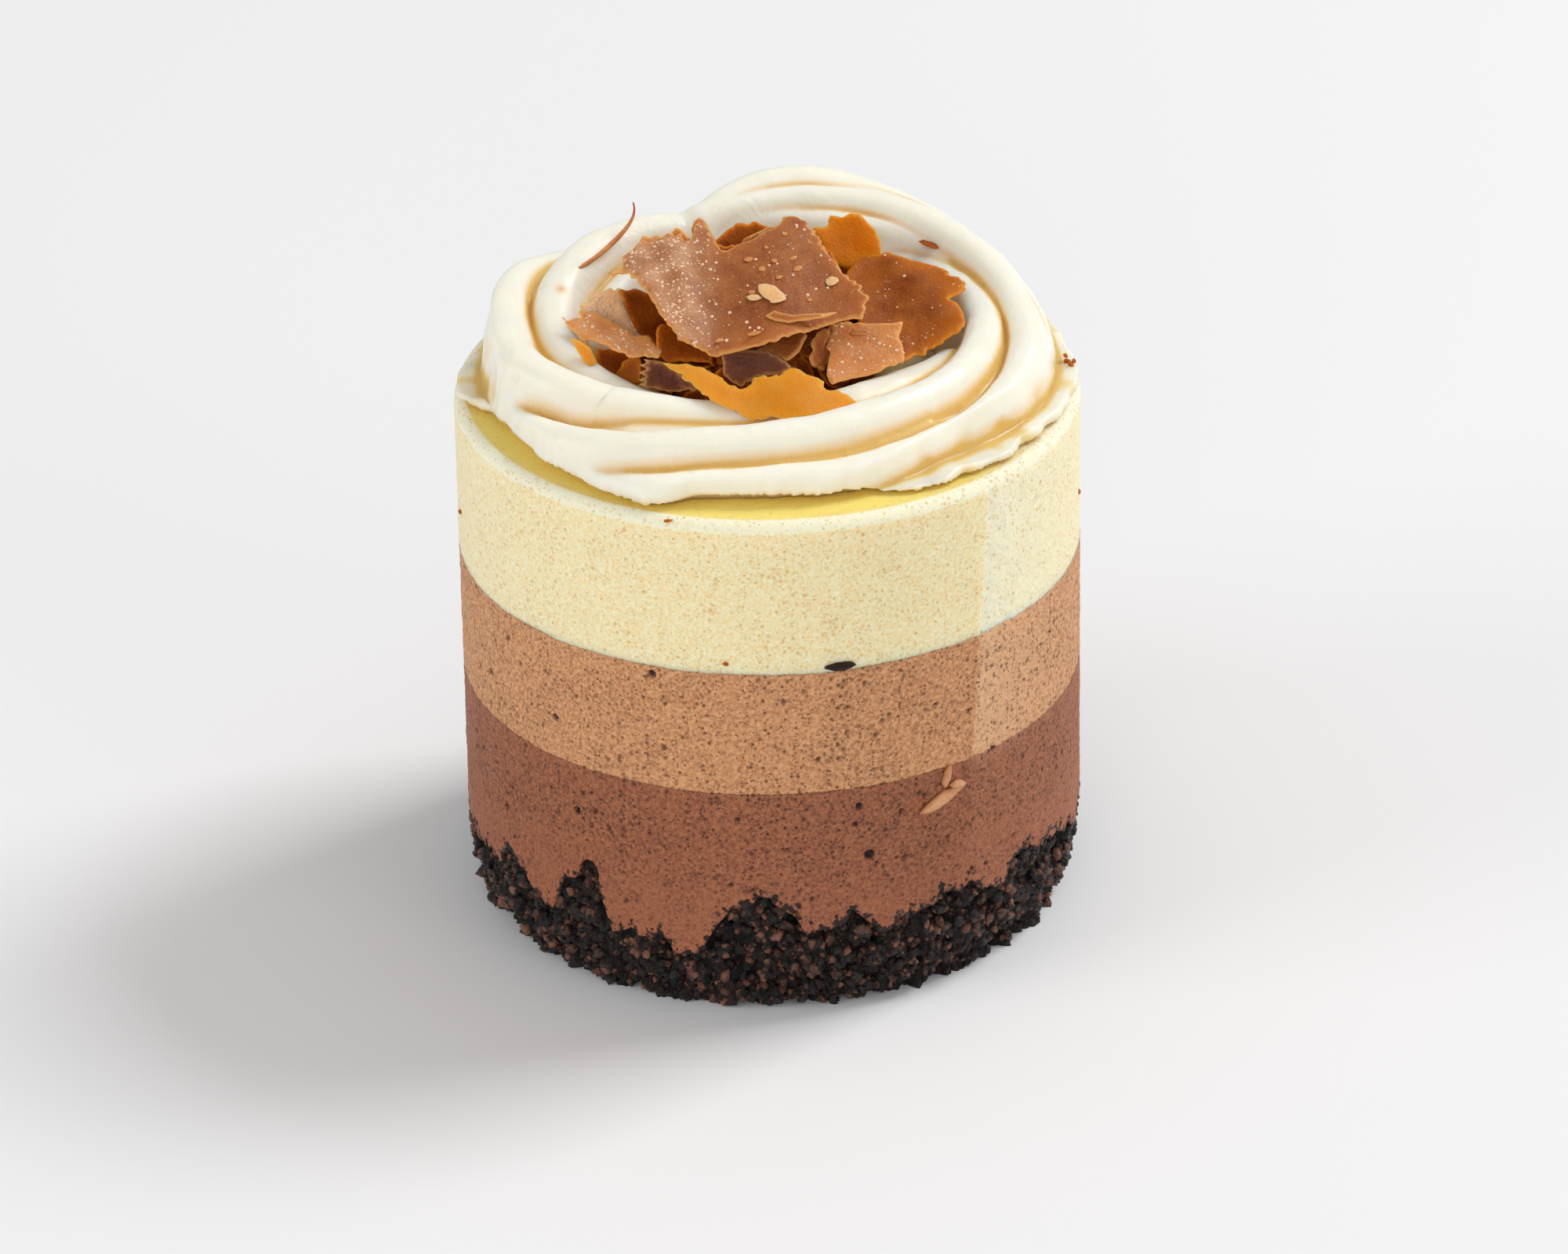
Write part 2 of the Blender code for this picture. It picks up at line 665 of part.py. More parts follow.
def heap_cover(x, y):
    """Height of the heap's mound over the mousse."""
    reach = math.hypot((x - HEAP_CENTRE[0]) / HEAP_RADII[0], (y - HEAP_CENTRE[1]) / HEAP_RADII[1])
    mound = HEAP_HEIGHT * (1.0 - 0.65 * reach**2.2) + HEAP_SLOPE * (y - HEAP_CENTRE[1])
    return max(mound + 0.5 * fine_noise(x, y, 7.0, 3.0), 1.0)


def heap_place(angle, reach):
    """The point at an angle in radians and a share of the heap's radius."""
    x = HEAP_CENTRE[0] + HEAP_RADII[0] * reach * math.cos(angle)
    y = HEAP_CENTRE[1] + HEAP_RADII[1] * reach * math.sin(angle)
    return x, y


def build_heap():
    """The small shavings under the large ones: a mound with shards fused to it."""
    rings = []
    for step in range(HEAP_RINGS):
        ring = []
        for i in range(HEAP_SECTIONS):
            x, y = heap_place(math.tau * i / HEAP_SECTIONS, 1.0 - step / HEAP_RINGS)
            ring.append((x, y, MOUSSE_TOP + heap_cover(x, y)))
        if step == 0:
            rings.append([(x, y, MOUSSE_TOP + GAP) for x, y, _ in ring])
        rings.append(ring)
    body = add_object("shaving_heap", *stacked_rings(rings), CHOCOLATE)
    draw = np.random.default_rng(SHARD_SEED)
    shards = []
    for i in range(HEAP_SHARDS):
        a = math.tau * (i + draw.uniform(-0.3, 0.3)) / HEAP_SHARDS
        x, y = heap_place(a, draw.uniform(0.55, 0.85) if i % 4 else draw.uniform(0.1, 0.35))
        size = (draw.uniform(3.0, 5.0), draw.uniform(1.8, 2.8), SHAVING_THICKNESS)
        turn = (draw.uniform(25, 60), draw.uniform(-15, 15), math.degrees(a) + 90)
        centre = (x, y, MOUSSE_TOP + max(heap_cover(x, y), 3.0))
        shards.append(chip_object(Chip(centre, size, turn), CHOCOLATE))
    fuse(body, shards)


def main():
    """Clears the scene and builds the cake from the base up."""
    for obj in list(bpy.data.objects):
        bpy.data.objects.remove(obj)
    build_sponge()
    build_dark_mousse()
    build_milk_mousse()
    build_white_mousse()
    build_cream()
    build_heap()
    for shaving in SHAVINGS:
        body = build_shaving(shaving)
        if shaving.name == "shaving_top":
            fuse(body, [chip_object(SHAVING_CHIP, AMBER)])


main()
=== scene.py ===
"""Looks of an individual round mousse cake of three chocolates.

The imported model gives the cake's places and sizes.  This script dresses it: the
crumb of the sponge, the fine pores of the three mousses, the piped ring of
cream, and the heap of chocolate shavings with the moisture beaded on it.

Lengths are in millimetres and angles in degrees until a mesh is made, in metres.
Angles run anticlockwise from +X seen from above, so the front, at -Y, is 270.
"""

import json
import logging
import math
from dataclasses import dataclass, field
from enum import Enum
from typing import Callable, Sequence

import bpy
import numpy as np
from mathutils import Euler, Matrix, Vector
from mathutils.geometry import delaunay_2d_cdt

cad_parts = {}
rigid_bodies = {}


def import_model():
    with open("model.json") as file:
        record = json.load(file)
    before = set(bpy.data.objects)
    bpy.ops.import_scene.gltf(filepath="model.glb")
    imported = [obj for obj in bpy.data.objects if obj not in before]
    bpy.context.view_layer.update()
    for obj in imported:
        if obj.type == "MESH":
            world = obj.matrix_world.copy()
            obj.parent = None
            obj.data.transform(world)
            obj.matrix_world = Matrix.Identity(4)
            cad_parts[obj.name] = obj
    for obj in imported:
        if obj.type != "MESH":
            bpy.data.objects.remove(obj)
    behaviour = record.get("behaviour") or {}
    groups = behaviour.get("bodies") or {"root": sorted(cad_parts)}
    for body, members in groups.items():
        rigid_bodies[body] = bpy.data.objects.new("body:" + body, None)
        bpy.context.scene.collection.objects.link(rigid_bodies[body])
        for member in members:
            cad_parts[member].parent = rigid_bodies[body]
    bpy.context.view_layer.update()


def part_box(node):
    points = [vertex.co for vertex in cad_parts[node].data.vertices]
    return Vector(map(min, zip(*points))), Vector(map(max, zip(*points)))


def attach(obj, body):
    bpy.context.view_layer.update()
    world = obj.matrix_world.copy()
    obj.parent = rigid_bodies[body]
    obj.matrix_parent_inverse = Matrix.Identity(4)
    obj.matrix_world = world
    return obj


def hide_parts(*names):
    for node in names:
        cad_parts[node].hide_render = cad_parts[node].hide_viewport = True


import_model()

LOG = logging.getLogger("mousse_cake")
MM = 0.001
BODY = "root"

# Point attributes that the meshes hand to their materials
CAVITY_SHADE = "cavity"  # 1 inside a burst bubble, and in the sponge's pits: painted shade
FILM_AND_RIM_HIGHLIGHT = "film"  # 1 where the ring's liner was lapped, and on the white mousse's rim as a painted highlight
SHADE = "shade"  # painted light: the glow on the white mousse's top, a lighter tint low on the dark one
TORN = "torn"  # 1 at the torn lower edge of the dark mousse, falling to 0 above it
CREASE_SHADE = "fold"  # painted shade in the cream's creases, low down, on its inner side and in the smear's gaps
STAIN = "stain"  # 1 where chocolate has coloured the cream
EDGE_WEAR_AND_GLOW = "rim"  # 1 at the edge of a shaving or flake: partly wear, partly a painted glow on chocolate
PAINTED_GLOW = "thin"  # 1 where a shaving is thin enough to glow: a painted glow
DEW = "dew"  # share of a shaving that is beaded with moisture
SOWN = "sown"  # share of the sponge's side that carries loose crumbs
TONE = "tone"  # a crumb's own lightness

CAKE_RADIUS = 30.0
CRUMB_REACH = 29.97  # how far from the axis a crumb may stand

# Sockets of a Mix node that mixes colours
MIX_FACTOR, MIX_A, MIX_B, MIX_RESULT = 0, 6, 7, 2


def linear(colour: str) -> tuple[float, float, float, float]:
    """Turns an sRGB colour into the linear one that a node's socket takes.

    Args:
        colour: The colour as "#RRGGBB".

    Returns:
        Red, green and blue as linear shares, and an alpha of 1.
    """
    shares = [int(colour[i : i + 2], 16) / 255.0 for i in (1, 3, 5)]
    red, green, blue = (s / 12.92 if s <= 0.04045 else ((s + 0.055) / 1.055) ** 2.4 for s in shares)
    return red, green, blue, 1.0


def per_metre(size: float) -> float:
    """The scale of a pattern whose parts are this many millimetres across."""
    return 1.0 / (size * MM)


Socket = bpy.types.NodeSocket


class Wiring:
    """A node tree with short ways to add what the trees use often.

    Each method but `add` gives back the output socket of the node that it adds, and
    takes sockets or plain values.
    """

    def __init__(self, tree: bpy.types.NodeTree) -> None:
        """Takes the tree to add to."""
        self.tree = tree

    def add(self, kind: str, inputs: dict | None = None, **settings) -> bpy.types.Node:
        """Adds a node with its settings, values and links.

        Args:
            kind: The node's type name.
            inputs: A value, or the output socket that feeds it, for an input's name or number.
            **settings: The node's own properties.

        Returns:
            The new node.
        """
        node = self.tree.nodes.new(kind)
        for name, value in settings.items():
            setattr(node, name, value)
        for key, value in (inputs or {}).items():
            if isinstance(value, Socket):
                self.tree.links.new(value, node.inputs[key])
            else:
                node.inputs[key].default_value = value
        return node

    def calculate(self, operation: str, *values: Socket | float) -> Socket:
        """Adds a sum of numbers, such as MULTIPLY."""
        return self.add("ShaderNodeMath", dict(enumerate(values)), operation=operation).outputs[0]

    def scaled(self, vector: Socket, factor: Socket | float) -> Socket:
        """Adds a vector times a number."""
        return self.add("ShaderNodeVectorMath", {0: vector, "Scale": factor}, operation="SCALE").outputs[0]

    def remap(
        self, value: Socket, low: float, high: Socket | float, start: Socket | float = 0.0,
        end: Socket | float = 1.0,
    ) -> Socket:
        """Adds a clamped change of range.

        Args:
            value: The value.
            low: Where it gives `start`.
            high: Where it gives `end`.
            start: What it gives up to `low`.
            end: What it gives from `high` on.

        Returns:
            The new value.
        """
        inputs = {"Value": value, "From Min": low, "From Max": high, "To Min": start, "To Max": end}
        return self.add("ShaderNodeMapRange", inputs).outputs[0]


class Grain:
    """Smooth noise over space, the same on every run."""

    def __init__(self, seed: int) -> None:
        """Draws the slopes that the noise is built from.

        Args:
            seed: Number that the draws start from.
        """
        draw = np.random.default_rng(seed)
        self.shuffle = draw.permutation(256)
        slopes = draw.normal(size=(256, 3))
        self.slopes = slopes / np.linalg.norm(slopes, axis=1, keepdims=True)
        self.spots = draw.uniform(0.0, 1.0, size=(256, 3))

    def _number(self, cell: np.ndarray) -> np.ndarray:
        """The number, from 0 to 255, that belongs to each cell of space.

        Args:
            cell: Whole numbers, as (..., xyz).

        Returns:
            The number of each cell.
        """
        mixed = self.shuffle[cell[..., 0] & 255]
        mixed = self.shuffle[(mixed + cell[..., 1]) & 255]
        return self.shuffle[(mixed + cell[..., 2]) & 255]

    def smooth(self, points: np.ndarray, size: float) -> np.ndarray:
        """Noise from about -1 to 1.

        Args:
            points: Places in millimetres, the last axis being x, y and z.
            size: How far apart the lumps are, in millimetres.

        Returns:
            One value for each point.
        """
        scaled = np.asarray(points, float) / size
        cell = np.floor(scaled).astype(int)
        local = scaled - cell
        fade = local**3 * (local * (local * 6.0 - 15.0) + 10.0)
        total = np.zeros(scaled.shape[:-1])
        for corner in np.ndindex(2, 2, 2):
            slope = self.slopes[self._number(cell + corner)]
            weight = np.prod(np.where(np.array(corner) == 1, fade, 1.0 - fade), axis=-1)
            total += weight * ((local - corner) * slope).sum(axis=-1)
        return 1.6 * total

    def layered(self, points: np.ndarray, size: float, layers: int = 3) -> np.ndarray:
        """Noise with finer and fainter noise added to it, from about -1 to 1."""
        return sum(self.smooth(points + 37.0 * i, size / 2**i) * 0.5**i for i in range(layers))

    def lumps(self, points: np.ndarray, size: float) -> np.ndarray:
        """Rounded lumps: 1 in the middle of a lump, 0 or less in the creases between them.

        Args:
            points: Places in millimetres, the last axis being x, y and z.
            size: How far apart the lumps are, in millimetres.

        Returns:
            One value for each point.
        """
        scaled = np.asarray(points, float) / size
        cell = np.floor(scaled).astype(int)
        nearest = np.full(scaled.shape[:-1], 9.0)
        for step in np.ndindex(3, 3, 3):
            there = cell + np.array(step) - 1
            gap = there + self.spots[self._number(there)] - scaled
            nearest = np.minimum(nearest, (gap**2).sum(axis=-1))
        return 1.0 - 1.6 * nearest


GRAIN = Grain(seed=11)


def on_circle(angles: np.ndarray, radii: np.ndarray, heights: np.ndarray) -> np.ndarray:
    """Points from angles in degrees, distances from the cake's axis and heights.

    Args:
        angles: Angles in degrees.
        radii: Distances from the axis.
        heights: Heights.

    Returns:
        The points, as (..., xyz).
    """
    turn = np.radians(angles)
    flat = np.broadcast_arrays(radii * np.cos(turn), radii * np.sin(turn), heights)
    return np.stack(flat, axis=-1)


def plain_mesh(name: str, points: np.ndarray, *faces: np.ndarray) -> bpy.types.Mesh:
    """Makes a smooth-shaded mesh from arrays.

    Args:
        name: The mesh's name.
        points: Points in millimetres.
        *faces: Arrays of point numbers, each with its own count of corners.

    Returns:
        The mesh, in metres.
    """
    mesh = bpy.data.meshes.new(name)
    mesh.vertices.add(len(points))
    mesh.vertices.foreach_set("co", (points * MM).astype(np.float32).ravel())
    corners = np.concatenate([group.ravel() for group in faces]).astype(np.int32)
    counts = np.concatenate([np.full(len(group), group.shape[1]) for group in faces])
    starts = np.concatenate([[0], np.cumsum(counts)[:-1]]).astype(np.int32)
    mesh.loops.add(len(corners))
    mesh.loops.foreach_set("vertex_index", corners)
    mesh.polygons.add(len(counts))
    mesh.polygons.foreach_set("loop_start", starts)
    mesh.update(calc_edges=True)
    mesh.validate()
    mesh.shade_smooth()
    return mesh


def paint(mesh: bpy.types.Mesh, name: str, values: np.ndarray) -> None:
    """Stores one number for each point of a mesh under a name that materials read."""
    layer = mesh.attributes.new(name, "FLOAT", "POINT")
    layer.data.foreach_set("value", np.asarray(values, np.float32).ravel())


def show(name: str, mesh: bpy.types.Mesh, finish: "Finish | None" = None) -> bpy.types.Object:
    """Puts a mesh into the scene as an object at the origin, in the finish given.

    Args:
        name: The object's name.
        mesh: Its mesh.
        finish: What the mesh is made of, unless it has a material.

    Returns:
        The object.
    """
    piece = bpy.data.objects.new(name, mesh)
    bpy.context.scene.collection.objects.link(piece)
    if finish:
        mesh.materials.clear()
        mesh.materials.append(finish.material())
    return piece


def hand_over(piece: bpy.types.Object, slot: str, *nodes: str) -> None:
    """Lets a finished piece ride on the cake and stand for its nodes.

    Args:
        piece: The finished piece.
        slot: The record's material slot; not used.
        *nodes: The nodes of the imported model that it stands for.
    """
    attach(piece, BODY)
    if nodes:
        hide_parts(*nodes)
    LOG.info("%s: %d faces, for %s", piece.name, len(piece.data.polygons), ", ".join(nodes) or "detail")


def turned(rings: np.ndarray) -> tuple[np.ndarray, np.ndarray, np.ndarray]:
    """Closes a stack of rings into one skin.

    Args:
        rings: Points as (ring, place round the ring, xyz), from the underside's middle
            outwards, up the side and back to the top's middle.

    Returns:
        The points, the quads between the rings, and the triangles of both ends.
    """
    rows, columns = rings.shape[:2]
    here = np.arange(columns)
    following = (here + 1) % columns
    low = np.arange(rows - 1)[:, None] * columns
    quads = np.stack([low + here, low + following, low + columns + following, low + columns + here], axis=-1)
    middle = rows * columns
    last = (rows - 1) * columns
    under = np.stack([np.full(columns, middle), following, here], axis=-1)
    over = np.stack([np.full(columns, middle + 1), last + here, last + following], axis=-1)
    ends = np.stack([rings[0].mean(axis=0), rings[-1].mean(axis=0)])
    points = np.concatenate([rings.reshape(-1, 3), ends])
    return points, quads.reshape(-1, 4), np.concatenate([under, over])


def ring_values(values: np.ndarray) -> np.ndarray:
    """Values for the points of a turned skin: those of its rings, and 0 at its two ends."""
    return np.concatenate([np.asarray(values, float).ravel(), [0.0, 0.0]])


# Geometry Nodes


class Growth(Wiring):
    """A Geometry Nodes tree that strews things over a mesh, or draws them out along it."""

    def __init__(self, name: str, **inputs: str) -> None:
        """Starts the tree.

        Args:
            name: The tree's name.
            **inputs: The socket type of each named input after the geometry, less its prefix.
        """
        super().__init__(bpy.data.node_groups.new(name, "GeometryNodeTree"))
        for label, kind in {"Geometry": "Geometry", **inputs}.items():
            self.tree.interface.new_socket(label, in_out="INPUT", socket_type="NodeSocket" + kind)
        self.tree.interface.new_socket("Geometry", in_out="OUTPUT", socket_type="NodeSocketGeometry")
        self.given = self.add("NodeGroupInput").outputs

    def draw(self, low: Socket | float, high: Socket | float, seed: Socket | int) -> Socket:
        """Adds a number drawn for each point."""
        inputs = {2: low, 3: high, "Seed": seed}
        return self.add("FunctionNodeRandomValue", inputs, data_type="FLOAT").outputs[1]

    def draw_vector(self, low: Socket | tuple, high: Socket | tuple, seed: Socket | int) -> Socket:
        """Adds a vector drawn for each point."""
        inputs = {0: low, 1: high, "Seed": seed}
        return self.add("FunctionNodeRandomValue", inputs, data_type="FLOAT_VECTOR").outputs[0]

    def mostly_small(self, power: float) -> Socket:
        """Adds a size drawn between the inputs Smallest and Largest, the rarer the larger."""
        rare = self.calculate("POWER", self.draw(0.0, 1.0, 3), power)
        return self.remap(rare, 0.0, 1.0, self.given["Smallest"], self.given["Largest"])

    def strewn_over(self, share: str) -> bpy.types.Node:
        """Adds the node that strews points over the faces, thinned by a painted share.

        Args:
            share: Name of the painted share.

        Returns:
            The node.
        """
        painted = self.add("GeometryNodeInputNamedAttribute", {"Name": share}, data_type="FLOAT")
        density = self.calculate("MULTIPLY", painted.outputs["Attribute"], self.given["Density"])
        inputs = {"Mesh": self.given["Geometry"], "Density": density, "Seed": self.given["Seed"]}
        return self.add("GeometryNodeDistributePointsOnFaces", inputs, distribute_method="RANDOM")

    def placed(self, points: bpy.types.Node, thing: Socket, turn: Socket, size: Socket, **more) -> Socket:
        """Adds a thing at every point.

        Args:
            points: The node that strews the points.
            thing: The thing, or a collection of them.
            turn: Its rotation.
            size: Its scale.
            **more: Values of further inputs, an underscore for each space in the name.

        Returns:
            The instances.
        """
        inputs = {"Points": points.outputs["Points"], "Instance": thing, "Rotation": turn, "Scale": size}
        inputs |= {name.replace("_", " "): value for name, value in more.items()}
        return self.add("GeometryNodeInstanceOnPoints", inputs).outputs[0]

    def real(self, instances: Socket) -> Socket:
        """Adds the node that turns instances into mesh."""
        return self.add("GeometryNodeRealizeInstances", {0: instances}).outputs[0]

    def ended(self, geometry: Socket) -> bpy.types.NodeTree:
        """Ends the tree with smooth faces in the finish that its input names.

        Args:
            geometry: What the tree gives out.

        Returns:
            The finished tree.
        """
        smooth = self.add("GeometryNodeSetShadeSmooth", {0: geometry}).outputs[0]
        inputs = {"Geometry": smooth, "Material": self.given["Finish"]}
        self.add("NodeGroupOutput", {0: self.add("GeometryNodeSetMaterial", inputs).outputs[0]})
        return self.tree


def grown(name: str, tree: bpy.types.NodeTree, base: bpy.types.Mesh, settings: dict) -> bpy.types.Mesh:
    """Runs a Geometry Nodes tree on a mesh and keeps the result as a plain mesh.

    Args:
        name: The new mesh's name.
        tree: The tree.
        base: The mesh that the tree starts from.
        settings: A value for each named input.

    Returns:
        The new mesh.
    """
    carrier = show(name + "_carrier", base)
    modifier = carrier.modifiers.new(name, "NODES")
    modifier.node_group = tree
    for item in tree.interface.items_tree:
        if item.in_out == "INPUT" and item.name in settings:
            modifier[item.identifier] = settings[item.name]
    graph = bpy.context.evaluated_depsgraph_get()
    mesh = bpy.data.meshes.new_from_object(carrier.evaluated_get(graph), depsgraph=graph)
    mesh.name = name
    bpy.data.objects.remove(carrier)
    return mesh


SCATTER_INPUTS = {
    "Density": "Float", "Smallest": "Float", "Largest": "Float", "Seed": "Int", "Finish": "Material",
}


def crumb_tree() -> bpy.types.NodeTree:
    """Builds the tree that strews craggy crumbs over the sponge's side.

    Returns:
        A tree that keeps every crumb over the height Floor and within the radius Reach.
    """
    tree = Growth("loose_crumbs", **SCATTER_INPUTS, Craggy="Float", Floor="Float", Reach="Float")
    ball = tree.add("GeometryNodeMeshIcoSphere", {"Radius": 1.0, "Subdivisions": 1}).outputs["Mesh"]
    place = tree.add("GeometryNodeInputPosition").outputs[0]
    rough = tree.add("ShaderNodeTexNoise", {"Vector": place, "Scale": 1.3, "Detail": 1.0}).outputs["Color"]
    centred = tree.add("ShaderNodeVectorMath", {0: rough, 1: (0.5, 0.5, 0.5)}, operation="SUBTRACT")
    shift = tree.scaled(centred.outputs[0], tree.given["Craggy"])
    crumb = tree.add("GeometryNodeSetPosition", {"Geometry": ball, "Offset": shift}).outputs[0]
    turn = tree.draw_vector((0.0, 0.0, 0.0), (math.tau, math.tau, math.tau), tree.given["Seed"])
    size = tree.scaled(tree.draw_vector((0.8, 0.7, 0.5), (1.2, 1.0, 0.9), 4), tree.mostly_small(2.0))
    strewn = tree.placed(tree.strewn_over(SOWN), crumb, turn, size)
    toned = tree.add(
        "GeometryNodeStoreNamedAttribute",
        {"Geometry": strewn, "Name": TONE, "Value": tree.draw(0.0, 1.0, 5)},
        data_type="FLOAT", domain="INSTANCE",
    )
    crumbs = tree.real(toned.outputs[0])
    place = tree.add("GeometryNodeInputPosition").outputs[0]
    x, y, z = tree.add("ShaderNodeSeparateXYZ", {0: place}).outputs
    flat = tree.add("ShaderNodeCombineXYZ", {0: x, 1: y}).outputs[0]
    away = tree.add("ShaderNodeVectorMath", {0: flat}, operation="LENGTH").outputs["Value"]
    pull = tree.calculate("MINIMUM", tree.calculate("DIVIDE", tree.given["Reach"], away), 1.0)
    x, y, _ = tree.add("ShaderNodeSeparateXYZ", {0: tree.scaled(flat, pull)}).outputs
    kept = {0: x, 1: y, 2: tree.calculate("MAXIMUM", z, tree.given["Floor"])}
    inputs = {"Geometry": crumbs, "Position": tree.add("ShaderNodeCombineXYZ", kept).outputs[0]}
    return tree.ended(tree.add("GeometryNodeSetPosition", inputs).outputs[0])


def bead_tree() -> bpy.types.NodeTree:
    """Builds the tree that beads a surface with flattened drops of moisture.

    Returns:
        The tree.
    """
    tree = Growth("moisture_beads", **SCATTER_INPUTS)
    ball = tree.add("GeometryNodeMeshIcoSphere", {"Radius": 1.0, "Subdivisions": 2}).outputs["Mesh"]
    drop = tree.add("GeometryNodeTransform", {"Geometry": ball, "Scale": (1.0, 1.0, 0.7)}).outputs[0]
    points = tree.strewn_over(DEW)
    beads = tree.placed(points, drop, points.outputs["Rotation"], tree.mostly_small(3.0))
    return tree.ended(tree.real(beads))


def shard_tree() -> bpy.types.NodeTree:
    """Builds the tree that strews shards, picked from a collection, over the heap's core.

    Returns:
        The tree.
    """
    tree = Growth("strewn_shards", **SCATTER_INPUTS, Shards="Collection", Tilt="Float")
    points = tree.strewn_over(SOWN)
    choice = {"Collection": tree.given["Shards"], "Separate Children": True, "Reset Children": True}
    shards = tree.add("GeometryNodeCollectionInfo", choice).outputs[0]
    tilt = tree.given["Tilt"]
    most = tree.add("ShaderNodeCombineXYZ", {0: tilt, 1: tilt, 2: math.pi}).outputs[0]
    lean = tree.draw_vector(tree.scaled(most, -1.0), most, tree.given["Seed"])
    tipped = tree.add("FunctionNodeEulerToRotation", {0: lean}).outputs[0]
    turning = {0: points.outputs["Rotation"], 1: tipped}
    turn = tree.add("FunctionNodeRotateRotation", turning, rotation_space="LOCAL").outputs[0]
    size = tree.draw(tree.given["Smallest"], tree.given["Largest"], 3)
    return tree.ended(tree.real(tree.placed(points, shards, turn, size, Pick_Instance=True)))


def strand_tree() -> bpy.types.NodeTree:
    """Builds the tree that draws a path out into a thin curved strand, tapered to both ends.

    Returns:
        The tree.
    """
    tree = Growth("curled_strand", Thickness="Float", Finish="Material")
    path = tree.add("GeometryNodeMeshToCurve", {"Mesh": tree.given["Geometry"]}).outputs[0]
    eased = tree.add("GeometryNodeCurveSplineType", {"Curve": path}, spline_type="NURBS").outputs[0]
    even = tree.add("GeometryNodeResampleCurve", {"Curve": eased, "Count": 60}).outputs[0]
    along = tree.add("GeometryNodeSplineParameter").outputs["Factor"]
    swell = tree.calculate("SINE", tree.calculate("MULTIPLY", along, math.pi))
    width = tree.remap(swell, 0.0, 1.0, 0.3, 1.0)
    radius = tree.calculate("MULTIPLY", width, tree.given["Thickness"])
    sized = tree.add("GeometryNodeSetCurveRadius", {"Curve": even, "Radius": radius}).outputs[0]
    outline = tree.add("GeometryNodeCurvePrimitiveCircle", {"Resolution": 10, "Radius": 0.5}).outputs[0]
    inputs = {"Curve": sized, "Profile Curve": outline, "Scale": radius, "Fill Caps": True}
    return tree.ended(tree.real(tree.add("GeometryNodeCurveToMesh", inputs).outputs[0]))


# Finishes


class Look(Wiring):
    """A material's tree, with its shader and the piece's own coordinates in metres."""

    def __init__(self, material: bpy.types.Material) -> None:
        """Takes the material to dress.

        Args:
            material: The material.
        """
        material.use_nodes = True
        super().__init__(material.node_tree)
        self.shader = self.tree.nodes["Principled BSDF"]
        self.place = self.add("ShaderNodeTexCoord").outputs["Object"]

    def noise(self, size: float, detail: float = 2.0, roughness: float = 0.5) -> Socket:
        """Adds noise with parts of this many millimetres."""
        inputs = {"Vector": self.place, "Scale": per_metre(size), "Detail": detail, "Roughness": roughness}
        return self.add("ShaderNodeTexNoise", inputs).outputs[0]

    def painted(self, name: str) -> Socket:
        """Adds what is painted on the mesh under this name."""
        return self.add("ShaderNodeAttribute", attribute_name=name).outputs["Fac"]

    def blend(self, amount: Socket, first: Socket | str, second: str) -> Socket:
        """Adds a colour that goes from the first to the second with the amount.

        Args:
            amount: The share of the second.
            first: A colour, or a socket that gives one.
            second: A colour.

        Returns:
            The mixed colour.
        """
        start = linear(first) if isinstance(first, str) else first
        inputs = {MIX_FACTOR: amount, MIX_A: start, MIX_B: linear(second)}
        return self.add("ShaderNodeMix", inputs, data_type="RGBA").outputs[MIX_RESULT]

    def relief(self, height: Socket, depth: float, strength: float = 1.0) -> None:
        """Adds a relief of this many millimetres to the shader."""
        inputs = {"Strength": strength, "Distance": depth * MM, "Height": height}
        self.tree.links.new(self.add("ShaderNodeBump", inputs).outputs[0], self.shader.inputs["Normal"])

    def wear(self, **values: Socket | float | tuple) -> None:
        """Sets or links the shader's inputs, an underscore for each space in the name.

        Args:
            **values: A value or a socket for each input.
        """
        for name, value in values.items():
            target = self.shader.inputs[name.replace("_", " ")]
            if isinstance(value, Socket):
                self.tree.links.new(value, target)
            else:
                target.default_value = value


@dataclass(frozen=True)
class Finish:
    """A material made of nodes, built once and shared by the pieces that wear it."""

    name: str

    def material(self) -> bpy.types.Material:
        """The material of this name, made on first use.

        Returns:
            The material.
        """
        found = bpy.data.materials.get(self.name)
        if found:
            return found
        made = bpy.data.materials.new(self.name)
        self.dress(Look(made))
        return made

    def dress(self, look: Look) -> None:
        """Adds the nodes that give the material its look."""
        raise NotImplementedError


